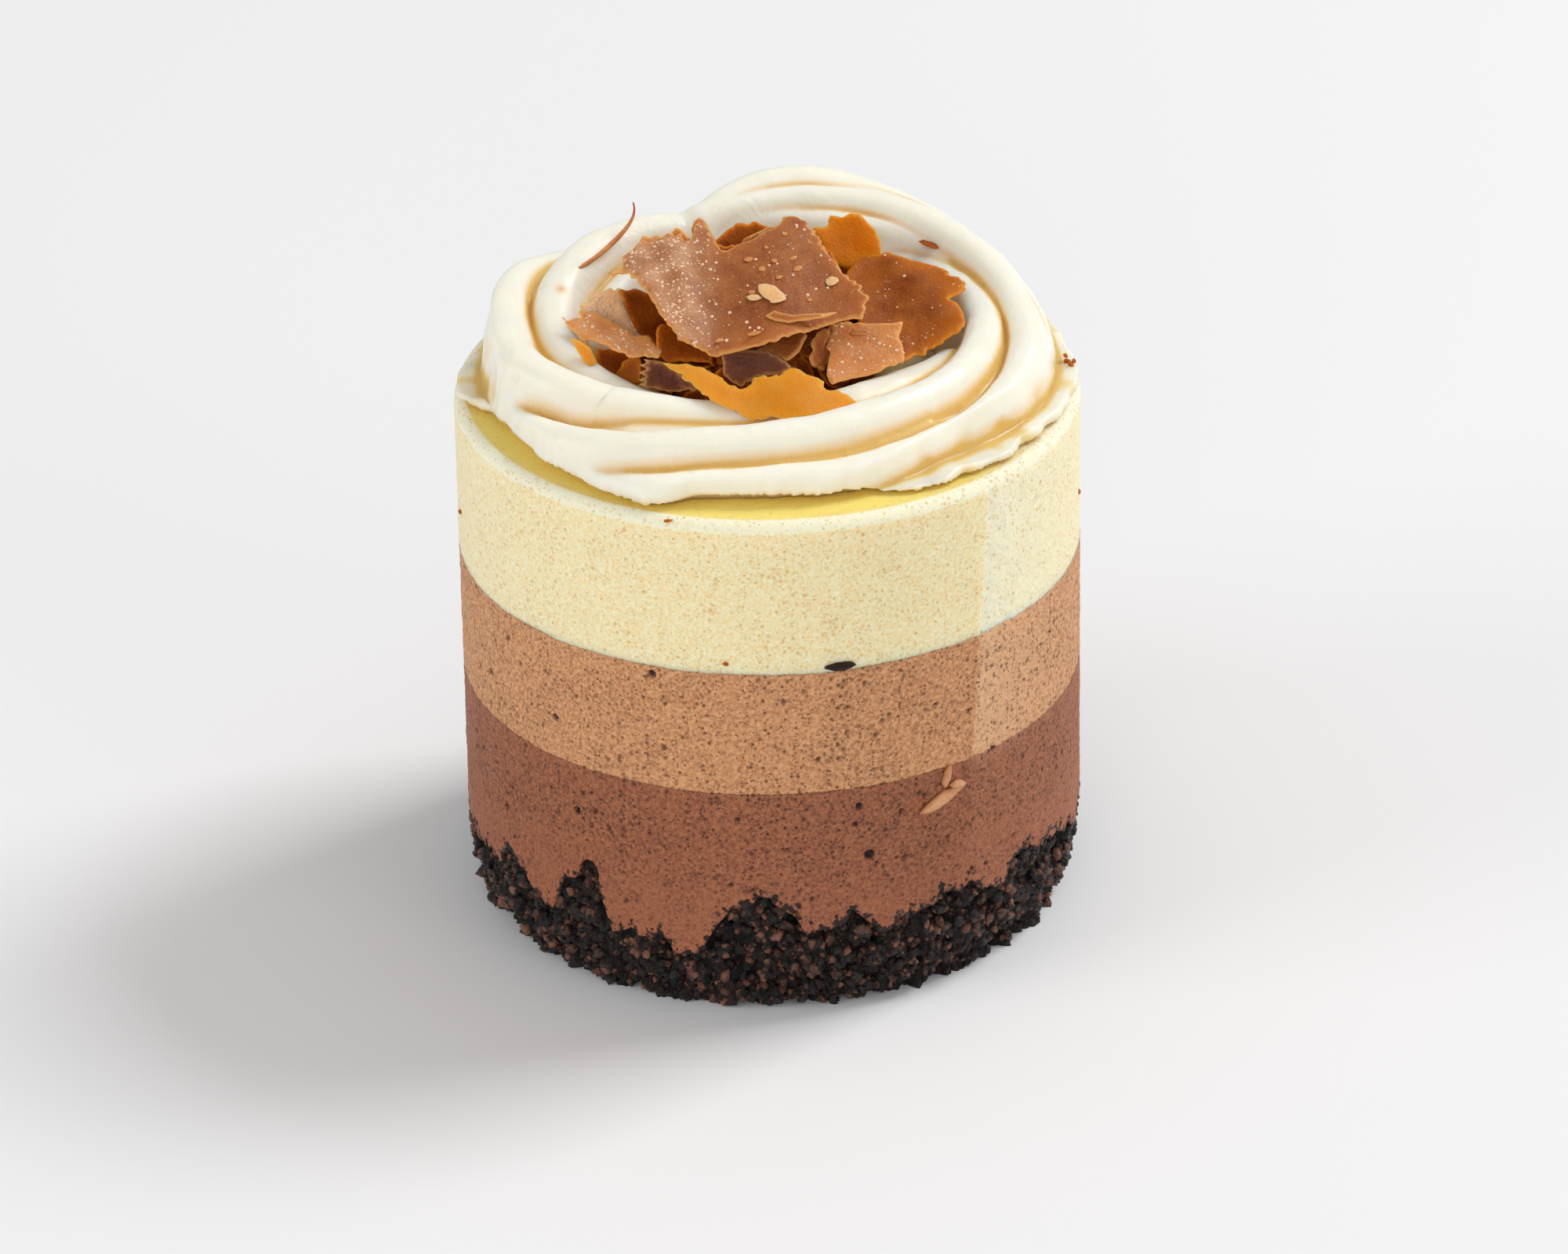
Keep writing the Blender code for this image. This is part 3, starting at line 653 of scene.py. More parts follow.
@dataclass(frozen=True)
class AeratedMousse(Finish):
    """Set chocolate mousse, cut by the wall of the ring it stood in.

    Bubbles beaten into it leave pinholes, darkened with painted shade, and pale flecks all
    over a matte, slightly waxy face, which lets a little light in.
    """

    body: str
    light: str
    # The pore and hollow tints are painted shade in pinholes and burst bubbles
    pore_shade: str
    hollow_shade: str
    # The shaded tint is painted light: the glow of the white one's top, a lighter tint low on the dark one
    shaded: str
    film: str
    pore_size: float = 0.62
    pore_share: float = 0.36
    patch_size: float = 4.0
    grain_size: float = 0.32
    relief: float = 0.16
    depth: float = 0.5
    subsurface: float = 0.3
    crumb: str = "#2A1710"
    crumb_size: float = 0.9

    def pores(self, look: Look) -> Socket:
        """Adds the pinholes, of two sizes, which the finish darkens with painted shade.

        Args:
            look: The material's nodes.

        Returns:
            1 in a pinhole and 0 outside it.
        """
        # Bubbles gather in some patches more than in others
        patch = look.noise(self.patch_size, 2.0, 0.6)
        widest = look.remap(patch, 0.3, 0.7, self.pore_share * 0.6, self.pore_share * 1.3)
        holes = []
        for share in (1.0, 0.55):
            inputs = {"Vector": look.place, "Scale": per_metre(self.pore_size * share), "Randomness": 1.0}
            cells = look.add("ShaderNodeTexVoronoi", inputs).outputs
            shaded_hole = look.remap(cells["Distance"], 0.08, widest, 1.0, 0.0)
            holes.append(look.calculate("MULTIPLY", shaded_hole, look.remap(cells["Color"], 0.2, 0.8)))
        return look.calculate("MAXIMUM", *holes)

    def dress(self, look: Look) -> None:
        """Adds pinholes and cavities darkened with painted shade, flecks, the film (a painted highlight
        on the white one's rim), the painted glow of the flat top and low on the dark one, and smeared
        crumbs.

        Args:
            look: The material's nodes.
        """
        pores = self.pores(look)
        grain = look.noise(self.grain_size, 2.0, 0.7)
        # Crumbs of the sponge, smeared into the mousse above its torn edge
        crumbs = look.noise(self.crumb_size, 3.0, 0.6)
        likely = look.calculate("MULTIPLY_ADD", look.painted(TORN), 0.30, crumbs)
        colour = look.blend(look.remap(grain, 0.36, 0.66), self.body, self.light)
        film, shade, cavity = (look.painted(name) for name in (FILM_AND_RIM_HIGHLIGHT, SHADE, CAVITY_SHADE))
        # Painted light and shade among the tints: shade in pinholes and cavities, light from SHADE, the
        # film's highlight on the white rim
        tints = (
            (look.calculate("MULTIPLY", film, 0.6), self.film), (pores, self.pore_shade), (shade, self.shaded),
            (cavity, self.hollow_shade), (look.remap(likely, 0.72, 0.78), self.crumb),
        )
        for amount, tint in tints:
            colour = look.blend(amount, colour, tint)
        swell = look.calculate("MULTIPLY", grain, 0.5)
        look.relief(look.calculate("SUBTRACT", swell, pores), self.relief, 0.8)
        look.wear(
            Base_Color=colour, Roughness=0.62, Specular_IOR_Level=0.35, Subsurface_Weight=self.subsurface,
            Subsurface_Radius=(1.0, 0.85, 0.65), Subsurface_Scale=self.depth * MM,
        )


class Mousse(Enum):
    """The three mousses, each with its own finish."""

    # The dark one's shaded tint is a painted lighter tint low on its side
    DARK = AeratedMousse(
        "dark_chocolate_mousse", body="#844A30", light="#AE6E4A", pore_shade="#381A10", hollow_shade="#24110B",
        shaded="#A86649", film="#CE9878", grain_size=0.36, relief=0.2, pore_share=0.42,
    )
    MILK = AeratedMousse(
        "milk_chocolate_mousse", body="#B87C50", light="#DEA878", pore_shade="#6C4026", hollow_shade="#452618",
        shaded="#C08C62", film="#F0C49A", grain_size=0.36, relief=0.2, pore_share=0.42,
    )
    # The white one's shaded tint is the painted glow of its flat top, and its film tint paints the rim's
    # highlight
    WHITE = AeratedMousse(
        "white_chocolate_mousse", body="#FADDA4", light="#FFF2D0", pore_shade="#E2C07C", hollow_shade="#CBA85E",
        shaded="#FFDF76", film="#FFF9E6", pore_share=0.36, depth=1.6, subsurface=0.9,
    )


@dataclass(frozen=True)
class ChocolateSponge(Finish):
    """Moist dark chocolate sponge, torn open: painted near black as shade in its pits, with wet glints."""

    # Painted shade in the pits' colour; the raised crumbs' colour is partly their own tone, partly a painted
    # highlight
    deep: str = "#040100"
    crumb: str = "#200F08"
    raised_tone_and_highlight: str = "#94604A"
    crumb_size: float = 0.45
    pit_size: float = 1.2

    def dress(self, look: Look) -> None:
        """Adds crumbs of uneven lightness, lighter where raised as a painted highlight, pits black
        with painted shade, and a gloss that comes and goes.

        Args:
            look: The material's nodes.
        """
        crumbs = look.noise(self.crumb_size, 4.0, 0.7)
        uneven = look.calculate("ADD", crumbs, look.painted(TONE))
        # Crumbs lighter where the relief rises: their own tone and a painted highlight
        colour = look.blend(look.remap(uneven, 0.92, 1.45), self.crumb, self.raised_tone_and_highlight)
        # Painted shade: black in pits of the noise and in the pits marked on the mesh
        shaded_hole = look.remap(look.noise(self.pit_size), 0.40, 0.52, 1.0, 0.0)
        colour = look.blend(look.calculate("MAXIMUM", shaded_hole, look.painted(CAVITY_SHADE)), colour, self.deep)
        gloss = look.remap(crumbs, 0.42, 0.60, 0.60, 0.16)
        look.relief(crumbs, 0.5)
        look.wear(Base_Color=colour, Roughness=gloss, Specular_IOR_Level=0.5)


@dataclass(frozen=True)
class WhippedCream(Finish):
    """Piped whipped cream: warm white with a soft wet gloss; its creases painted butter yellow as shade."""

    crest: str = "#FAF2E3"
    # The crease tint is painted shade
    crease: str = "#E8C26E"
    stain: str = "#E9A24C"
    bubble_size: float = 0.4
    drift_size: float = 5.0
    froth_size: float = 0.55

    def dress(self, look: Look) -> None:
        """Adds the painted shade of the creases, the chocolate's stain, fine bubbles and drifting gloss.

        Args:
            look: The material's nodes.
        """
        drift = look.noise(self.drift_size)
        colour = look.blend(look.painted(CREASE_SHADE), self.crest, self.crease)
        colour = look.blend(look.painted(STAIN), colour, self.stain)
        inputs = {"Vector": look.place, "Scale": per_metre(self.froth_size)}
        froth = look.add("ShaderNodeTexVoronoi", inputs).outputs["Distance"]
        frothy = look.remap(drift, 0.56, 0.68, 0.0, 3.0)
        bubbles = look.noise(self.bubble_size, 2.0, 0.6)
        look.relief(look.calculate("MULTIPLY_ADD", froth, frothy, bubbles), 0.04, 0.6)
        look.wear(
            Base_Color=colour, Roughness=look.remap(drift, 0.35, 0.65, 0.26, 0.5), Specular_IOR_Level=0.45,
            Subsurface_Weight=1.0, Subsurface_Radius=(1.0, 0.8, 0.5), Subsurface_Scale=2.0 * MM,
        )


@dataclass(frozen=True)
class ShavedChocolate(Finish):
    """Chocolate shaved off a block: satin, bloomed in patches, its edge tan from wear and painted glow."""

    face: str
    bloom: str
    # The edge tint is partly wear and partly a painted glow; the glow tint is painted light in thin places
    edge: str
    glow: str
    bloom_size: float = 3.0
    speck_size: float = 0.28
    subsurface: float = 0.2
    depth: float = 0.5
    sheen: float = 0.22
    # The misted tint is partly the mist of the moisture and partly a painted sheen
    mist_and_sheen: str = "#F4C79C"

    def dress(self, look: Look) -> None:
        """Adds patches of bloom, fine specks, the painted glow of thin places, a misted tint that
        is partly painted sheen, and the pale edge, partly painted glow.

        Args:
            look: The material's nodes.
        """
        patch = look.noise(self.bloom_size, 3.0, 0.6)
        specks = look.noise(self.speck_size, 2.0, 0.6)
        both = look.calculate("ADD", patch, look.calculate("MULTIPLY", specks, 0.6))
        colour = look.blend(look.remap(both, 0.62, 1.02), self.face, self.bloom)
        # Painted light: the glow of thin places, the sheen in the misted tint, and the glow of the edge
        for name, tint, most in ((PAINTED_GLOW, self.glow, 1.0), (DEW, self.mist_and_sheen, 0.7), (EDGE_WEAR_AND_GLOW, self.edge, 1.0)):
            colour = look.blend(look.calculate("MULTIPLY", look.painted(name), most), colour, tint)
        look.relief(specks, 0.12)
        gloss = look.remap(patch, 0.3, 0.7, 0.34, 0.55)
        look.wear(
            Base_Color=colour, Roughness=gloss, Specular_IOR_Level=self.sheen,
            Subsurface_Weight=self.subsurface, Subsurface_Radius=(1.0, 0.45, 0.15),
            Subsurface_Scale=self.depth * MM,
        )


class Chocolate(Enum):
    """The kinds of chocolate bits, each with its own finish."""

    MILK = ShavedChocolate(
        "milk_chocolate", face="#843E18", bloom="#A9642F", edge="#E8A860", glow="#BC6A2C",
    )
    RUST = ShavedChocolate(
        "amber_milk_chocolate", face="#7C3200", bloom="#A6560C", edge="#E0902C", glow="#CC6E08", sheen=0.12,
    )
    TAN = ShavedChocolate(
        "tan_milk_chocolate", face="#B8672F", bloom="#D8925A", edge="#F2B06A", glow="#DA8834",
    )
    AMBER = ShavedChocolate(
        "thin_milk_chocolate", face="#DE8408", bloom="#D29038", edge="#EEAA48", glow="#F6A018",
        subsurface=0.6, depth=1.0, sheen=0.15,
    )
    HONEY = ShavedChocolate(
        "glowing_milk_chocolate", face="#C86800", bloom="#BC6C10", edge="#E09A30", glow="#DE8604",
        subsurface=0.6, depth=1.0, sheen=0.1,
    )
    # A darker, shaded copy of milk chocolate: painted shade in the heap, and the colour of the dark chips
    # and specks
    DEEP = ShavedChocolate(
        "shaded_milk_chocolate", face="#6E2C02", bloom="#9C4E0E", edge="#DC8024", glow="#BE5C0A", sheen=0.1,
    )
    COCOA = ShavedChocolate(
        "layered_chocolate", face="#55281C", bloom="#80503E", edge="#D09A68", glow="#8A4C2A",
    )
    # Pale chocolate: the colour of the pale chips, and a lit copy, painted light, for the curled shaving
    PALE = ShavedChocolate("caramel_flake", face="#ECA768", bloom="#FFCB98", edge="#F2CC96", glow="#E6B070")
    NUT = ShavedChocolate(
        "roasted_nut_flake", face="#C98A5E", bloom="#DDA97C", edge="#A8663C", glow="#CF9468",
    )
    DARK = ShavedChocolate("dark_chocolate", face="#1A0D08", bloom="#2B1710", edge="#3A2016", glow="#1A0D08")


@dataclass(frozen=True)
class BeadedMoisture(Finish):
    """Condensed water in small beads, painted pale as a highlight, with a sharp glint each."""

    # Painted highlight: the pale colour stands in for the light the drops catch
    colour: str = "#EFC7A4"

    def dress(self, look: Look) -> None:
        """Sets a glossy body with water's refraction, painted pale as a highlight; the shape gives the
        glint.
        """
        look.wear(Base_Color=linear(self.colour), Roughness=0.12, IOR=1.33, Specular_IOR_Level=1.0)


@dataclass(frozen=True)
class StudioPaper(Finish):
    """Matte seamless paper, a shade off white, with the faintest tooth."""

    colour: str = "#F0F0F1"

    def dress(self, look: Look) -> None:
        """Sets the paper's colour and a tooth of half a millimetre."""
        look.relief(look.noise(0.5), 0.02, 0.15)
        look.wear(Base_Color=linear(self.colour), Roughness=0.75)


# The body of the cake

# Height of the sponge's ragged edge round the front half, as (angle, height)
SPONGE_EDGE = (
    (186, 8.0), (193, 7.7), (203, 8.6), (207, 7.8), (210.5, 11.2), (214, 10.0),
    (217, 8.7), (220, 7.5), (224, 7.1), (227.5, 11.0), (231, 12.0), (235.5, 11.5),
    (238.5, 6.6), (242.5, 8.1), (245, 7.1), (249, 7.4), (252, 6.4), (255, 6.3),
    (258.5, 9.0), (262, 11.5), (266.5, 12.5), (269, 12.9), (271, 11.8),
    (273.5, 10.5), (275.5, 8.5), (279, 9.2), (282.5, 9.4), (284, 11.3),
    (286, 10.2), (289, 8.1), (292, 8.4), (295, 9.8), (300, 9.8), (301.5, 11.3),
    (306, 10.2), (309, 10.7), (313, 9.2), (317, 9.0), (320.5, 10.9),
    (324.5, 11.2), (330, 10.1), (336, 9.6), (342, 8.6), (348, 7.3),
)
BACK_EDGE_MEAN = 9.2
BACK_EDGE_SWING = 2.6
BACK_EDGE_SIZE = 3.2
CAKE_COLUMNS = 942


def ragged_edge(angles: np.ndarray) -> np.ndarray:
    """Height of the line where the dark mousse ends on the sponge.

    Args:
        angles: Angles in degrees, from 0 to 360.

    Returns:
        The height at each angle, with the fine tears of the crumb.
    """
    stations = np.array(SPONGE_EDGE)
    front = np.interp(angles, stations[:, 0], stations[:, 1])
    around = on_circle(angles, CAKE_RADIUS, 3.0)
    back = BACK_EDGE_MEAN + BACK_EDGE_SWING * GRAIN.layered(around, BACK_EDGE_SIZE, 2)
    first, last, ease = SPONGE_EDGE[0][0], SPONGE_EDGE[-1][0], 4.0
    share = np.clip(np.minimum(angles - first + ease, last + ease - angles) / ease, 0.0, 1.0)
    tears = sum(
        deep * GRAIN.smooth(around + shift, size)
        for deep, shift, size in ((0.6, 11.0, 1.9), (0.35, 17.0, 0.95), (0.12, 23.0, 0.5))
    )
    return share * front + (1.0 - share) * back + tears - 0.2


@dataclass
class SpongeBase:
    """The crumbly sponge under the mousse, with crumbs that stand out of its side."""

    foot_radius: float = 27.8
    side_radius: float = 29.0
    crag: float = 0.9
    crag_size: float = 3.0
    crumb_depth: float = 1.1
    crumb_size: float = 1.5
    rows: int = 62
    crumbs_per_square_metre: float = 2.6e6
    crumb_sizes: tuple[float, float] = (0.1, 0.75)
    finish: ChocolateSponge = field(default_factory=lambda: ChocolateSponge("moist_chocolate_sponge"))

    def side(self) -> tuple[np.ndarray, np.ndarray, np.ndarray]:
        """Works out the craggy side.

        Returns:
            The rings' points, how deep each lies in a pit from 0 to 1, and the share of
            the way up to the ragged edge.
        """
        angles = np.linspace(0.0, 360.0, CAKE_COLUMNS, endpoint=False)
        level = np.linspace(0.0, 1.0, self.rows)[:, None]
        height = level * (ragged_edge(angles) + 0.9)
        smooth = self.foot_radius + (self.side_radius - self.foot_radius) * np.minimum(1.0, level * 2.0)
        rest = on_circle(angles, smooth, height)
        crags = GRAIN.layered(rest, self.crag_size, 2)
        lumps = GRAIN.lumps(rest, self.crumb_size) + 0.45 * GRAIN.lumps(rest + 50.0, self.crumb_size / 2.4)
        tuck = 0.9 * np.clip((level - 0.93) / 0.07, 0.0, 1.0)
        radius = smooth + self.crag * crags + self.crumb_depth * (lumps - 0.9) - tuck
        radius = np.clip(radius, 25.0, 29.6)
        pits = np.clip(0.55 - lumps, 0.0, 1.0)
        return on_circle(angles, radius, height), pits, np.broadcast_to(level, height.shape)

    def build(self) -> None:
        """Builds the sponge's skin and strews its loose crumbs."""
        rings, pits, level = self.side()
        under = rings[0] * (0.5, 0.5, 1.0)
        over = rings[-1] * (0.9, 0.9, 1.0)
        skin = np.concatenate([under[None], rings, over[None]])
        blank = np.zeros((1, CAKE_COLUMNS))
        mesh = plain_mesh("sponge_crumb", *turned(skin))
        # The pits between the lumps are marked for painted shade
        paint(mesh, CAVITY_SHADE, ring_values(np.concatenate([blank, pits, blank])))
        paint(mesh, TONE, ring_values(np.full(skin.shape[:2], 0.35)))
        sown = ((level > 0.03) & (level < 0.97)).astype(float)
        paint(mesh, SOWN, ring_values(np.concatenate([blank, sown, blank])))
        piece = show("sponge_crumb", mesh, self.finish)
        hand_over(piece, "sponge", "sponge_base")
        self.strew("sponge_loose_crumbs", mesh.copy(), self.crumb_sizes, 4, 1.9)

    def strew(
        self, name: str, sown: bpy.types.Mesh, sizes: tuple[float, float], seed: int, craggy: float
    ) -> None:
        """Strews crumbs over a mesh.

        Args:
            name: The crumbs' name.
            sown: The mesh, painted with the share that carries crumbs.
            sizes: The smallest and the largest crumb.
            seed: Number that the draws start from.
            craggy: How far the crumbs are from round.
        """
        crumbs = grown(name, crumb_tree(), sown, {
            "Density": self.crumbs_per_square_metre, "Smallest": sizes[0] * MM, "Largest": sizes[1] * MM,
            "Seed": seed, "Craggy": craggy, "Floor": 0.0, "Reach": CRUMB_REACH * MM,
            "Finish": self.finish.material(),
        })
        hand_over(show(name, crumbs), "sponge")


@dataclass(frozen=True)
class Bubble:
    """A bubble that burst against the ring: where it lies on the side and its radius."""

    angle: float
    height: float
    radius: float


@dataclass
class MousseLayers:
    """The three mousses, one on another, with the marks that the ring left on them."""

    radius: float = 29.94
    core_reach: float = 15.0
    foot_reach: float = 29.0
    foot_depth: float = 1.2
    lid_reach: float = 29.3
    lid_depth: float = 0.15
    rim_rounding: float = 1.1
    row_height: float = 0.2
    wave: float = 0.10
    seam_low: tuple[float, float] = (308.7, 22.5)
    seam_high: tuple[float, float] = (313.1, 50.0)
    seam_step: float = 0.13
    seam_reach: float = 3.6
    relief: float = 0.06
    bubbles: tuple[Bubble, ...] = (
        Bubble(233.6, 12.8, 1.15), Bubble(206.1, 28.6, 0.42), Bubble(226.4, 28.2, 0.40),
        Bubble(247.8, 35.9, 0.45), Bubble(210.9, 15.1, 0.40), Bubble(231.2, 19.0, 0.42),
        Bubble(285.5, 22.0, 0.42), Bubble(287.4, 16.6, 0.55),
    )
    small_bubbles: int = 900
    bubble_seed: int = 21
    torn_reach: float = 2.2

    def __post_init__(self) -> None:
        """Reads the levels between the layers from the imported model."""
        self.angles = np.linspace(0.0, 360.0, CAKE_COLUMNS, endpoint=False)
        self.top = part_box("white_mousse")[1].z / MM
        self.milk_top = (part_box("milk_mousse")[1].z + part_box("white_mousse")[0].z) / 2 / MM
        self.dark_top = (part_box("dark_mousse")[1].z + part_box("milk_mousse")[0].z) / 2 / MM
        draw = np.random.default_rng(self.bubble_seed)
        self.all_bubbles = list(self.bubbles)
        for _ in range(self.small_bubbles):
            place = draw.uniform((0.0, 9.0), (360.0, self.milk_top - 0.4))
            self.all_bubbles.append(Bubble(*place, 0.14 + 0.18 * draw.random() ** 4))

    def boundary(self, level: float) -> np.ndarray:
        """The slightly wavy height at which one mousse was poured on another."""
        around = on_circle(self.angles, CAKE_RADIUS, level)
        return level + self.wave * GRAIN.layered(around, 6.0, 3)

    def side(self, low: np.ndarray, high: np.ndarray) -> tuple[np.ndarray, np.ndarray, np.ndarray]:
        """Works out a layer's side between two heights, with its seam and bubbles.

        Args:
            low: The lower height at each angle.
            high: The upper height at each angle.

        Returns:
            The rings' points, how deep each lies in a bubble, and how much film it carries.
        """
        rows = int(np.ceil((high - low).max() / self.row_height)) + 1
        share = np.linspace(0.0, 1.0, rows)[:, None]
        height = low + share * (high - low)
        angle = np.broadcast_to(self.angles, height.shape)
        (low_angle, low_height), (high_angle, high_height) = self.seam_low, self.seam_high
        seam = low_angle + (height - low_height) * (high_angle - low_angle) / (high_height - low_height)
        seam = seam + 0.12 * GRAIN.smooth(np.stack([height, height * 0, height * 0], axis=-1), 4.0)
        past = np.radians(angle - seam) * self.radius
        lifted = np.where(past < 0.0, np.clip(1.0 + past / self.seam_reach, 0.0, 1.0) ** 2, 0.0)
        film = np.where((past > 0.0) & (past < 40.0), np.exp(-np.maximum(past, 0.0) / 9.0), 0.0)
        film = film * np.clip((height - self.dark_top + 2.0) / 3.0, 0.15, 1.0)
        rest = on_circle(angle, CAKE_RADIUS, height)
        rough = self.relief * (1.0 + 1.2 * film)
        relief = 0.04 * GRAIN.smooth(rest, 3.0) + rough * GRAIN.layered(rest + 7.0, 0.75, 2) - 0.09
        dropped = np.where(past > 0.0, np.exp(-np.clip(past, 0.0, 40.0) / 1.6), 0.0)
        radius = self.radius + relief + self.seam_step * (lifted - 1.1 * dropped)
        cavity = np.zeros(height.shape)
        for bubble in self.all_bubbles:
            if not low.min() - 1.0 < bubble.height < high.max() + 1.0:
                continue
            across = np.radians((angle - bubble.angle + 180.0) % 360.0 - 180.0) * self.radius
            inside = bubble.radius**2 - across**2 - (height - bubble.height) ** 2
            cavity = np.maximum(cavity, np.sqrt(np.maximum(inside, 0.0)))
        radius = radius - cavity
        return on_circle(angle, radius, height), np.clip(cavity / 0.35, 0.0, 1.0), film

    def piece(
        self, name: str, kind: Mousse, rings: list[np.ndarray], marks: dict[str, list],
    ) -> bpy.types.Object:
        """Closes rings into a layer.

        Args:
            name: The piece's name.
            kind: The mousse it is made of.
            rings: Groups of rings, from the underside to the top.
            marks: For each painted name, its values on each group of rings.

        Returns:
            The layer as an object.
        """
        mesh = plain_mesh(name, *turned(np.concatenate(rings)))
        for mark, groups in marks.items():
            whole = [np.broadcast_to(value, group.shape[:2]) for value, group in zip(groups, rings)]
            paint(mesh, mark, ring_values(np.concatenate(whole)))
        return show(name, mesh, kind.value)

    def flat(self, radii: Sequence[float], height: np.ndarray | float) -> np.ndarray:
        """Rings at one height, at these distances from the axis."""
        return np.stack([on_circle(self.angles, r, height) for r in radii])

    def foot(self, level: float) -> np.ndarray:
        """The rings of an underside, which reaches down into the pour below."""
        return self.flat((self.core_reach, self.foot_reach), level - self.foot_depth)

    def lid(self, level: float) -> np.ndarray:
        """The rings of a top, just under the next pour."""
        return self.flat((self.lid_reach, self.core_reach), level - self.lid_depth)

    def build_dark(self) -> None:
        """Builds the dark mousse, whose torn lower edge hangs over the sponge."""
        edge = ragged_edge(self.angles)
        hem = np.stack([
            on_circle(self.angles, 20.0, 8.0),
            on_circle(self.angles, 27.6, edge + 0.9),
            on_circle(self.angles, 29.0, edge + 0.35),
            on_circle(self.angles, 29.5, edge + 0.05),
            on_circle(self.angles, 29.8, edge + 0.06),
        ])
        side, cavity, film = self.side(edge + 0.25, self.boundary(self.dark_top))
        lid = self.lid(self.dark_top)
        torn = np.clip(1.0 - (side[..., 2] - edge) / self.torn_reach, 0.0, 1.0)
        # Painted light: the dark mousse takes a lighter, redder tint growing towards its bottom
        thin = 0.5 * np.clip((17.0 - side[..., 2]) / 8.0, 0.0, 1.0)
        marks = {
            CAVITY_SHADE: [0.0, cavity, 0.0], FILM_AND_RIM_HIGHLIGHT: [0.0, film, 0.0],
            TORN: [1.0, torn, 0.0], SHADE: [0.0, thin, 0.0],
        }
        layer = self.piece("dark_mousse_layer", Mousse.DARK, [hem, side, lid], marks)
        hand_over(layer, "dark_mousse", "dark_mousse")
        sown = layer.data.copy()
        share = np.where(torn > 0.0, 0.45 * torn**3, 0.0)
        paint(sown, SOWN, ring_values(np.concatenate([
            np.zeros(hem.shape[:2]), share, np.zeros(lid.shape[:2]),
        ])))
        SpongeBase().strew("crumbs_in_mousse", sown, (0.12, 0.5), 6, 1.5)

    def build_milk(self) -> None:
        """Builds the milk mousse between two pours."""
        side, cavity, film = self.side(self.boundary(self.dark_top), self.boundary(self.milk_top))
        foot, lid = self.foot(self.dark_top), self.lid(self.milk_top)
        marks = {CAVITY_SHADE: [0.0, cavity, 0.0], FILM_AND_RIM_HIGHLIGHT: [0.0, film, 0.0]}
        layer = self.piece("milk_mousse_layer", Mousse.MILK, [foot, side, lid], marks)
        hand_over(layer, "milk_mousse", "milk_mousse")

    def build_white(self) -> None:
        """Builds the white mousse, with its rounded rim and flat top."""
        shoulder = self.top - self.rim_rounding
        side, cavity, film = self.side(self.boundary(self.milk_top), np.full(CAKE_COLUMNS, shoulder))
        foot = self.foot(self.milk_top)
        rim = []
        for step in range(1, 9):
            turn = math.radians(90.0 * step / 8)
            radius = self.radius - 0.09 - self.rim_rounding * (1.0 - math.cos(turn))
            rim.append(on_circle(self.angles, radius, shoulder + self.rim_rounding * math.sin(turn)))
        crown = np.stack([on_circle(self.angles, r, self.top) for r in np.arange(28.6, 16.0, -0.75)])
        crown[..., 2] += 0.04 * GRAIN.layered(crown, 2.5, 3) - 0.05
        middle = self.flat((10.0,), self.top - 0.05)
        rings = [foot, side, np.stack(rim), crown, middle]
        # Painted glow: the flat top is painted yellow between the cream and the pale rim, from the left
        # round the front
        glow = np.clip(np.minimum(self.angles - 150.0, 330.0 - self.angles) / 20.0, 0.0, 1.0)
        shades = []
        for group in (np.stack(rim), crown):
            inside = (self.radius - self.rim_rounding - np.linalg.norm(group[..., :2], axis=-1)) / 0.5
            shades.append(glow * np.clip(inside + 0.3, 0.0, 1.0))
        # The rim takes the film tint in full as a painted highlight
        marks = {
            CAVITY_SHADE: [0.0, cavity, 0.0, 0.0, 0.0], FILM_AND_RIM_HIGHLIGHT: [0.0, film, 1.0, 0.0, 0.0],
            SHADE: [0.0, 0.0, *shades, 1.0],
        }
        layer = self.piece("white_mousse_layer", Mousse.WHITE, rings, marks)
        hand_over(layer, "white_mousse", "white_mousse")

    def build(self) -> None:
        """Builds the three layers and the bits caught in their sides."""
        self.build_dark()
        self.build_milk()
        self.build_white()
        nuts = (
            Flake((15.9, -25.5, 20.9), (5.3, 1.5), (90, -17, 32), seed=1, thickness=0.7, tip=0.3),
            Flake((16.3, -25.3, 23.1), (2.4, 0.9), (90, -72, 32), seed=2, thickness=0.6, tip=0.3),
            Flake((17.3, -24.6, 21.9), (1.7, 0.9), (90, 8, 34), seed=8, thickness=0.6, tip=0.3),
        )
        hand_over(Flake.joined("nut_flakes", nuts, Chocolate.NUT), "milk_mousse")
        dark = (Flake((6.35, -29.15, 37.25), (3.1, 1.0), (90, 1, 13), seed=3, thickness=0.9),)
        hand_over(Flake.joined("dark_chocolate_bit", dark, Chocolate.DARK), "sponge")
        specks = (
            Flake((-29.4, -5.2, 41.8), (0.7, 0.5), (90, 0, -80), seed=4, thickness=0.4),
            Flake((29.6, -3.9, 42.1), (0.8, 0.5), (90, 0, 82), seed=5, thickness=0.4),
            Flake((-9.4, -28.2, 52.35), (0.8, 0.4), (0, 0, 20), seed=6, thickness=0.3),
            Flake((-4.3, -29.5, 37.9), (0.6, 0.4), (90, 0, -8), seed=7, thickness=0.4),
        )
        hand_over(Flake.joined("caught_specks", specks, Chocolate.DEEP), "chocolate")


# The piped cream


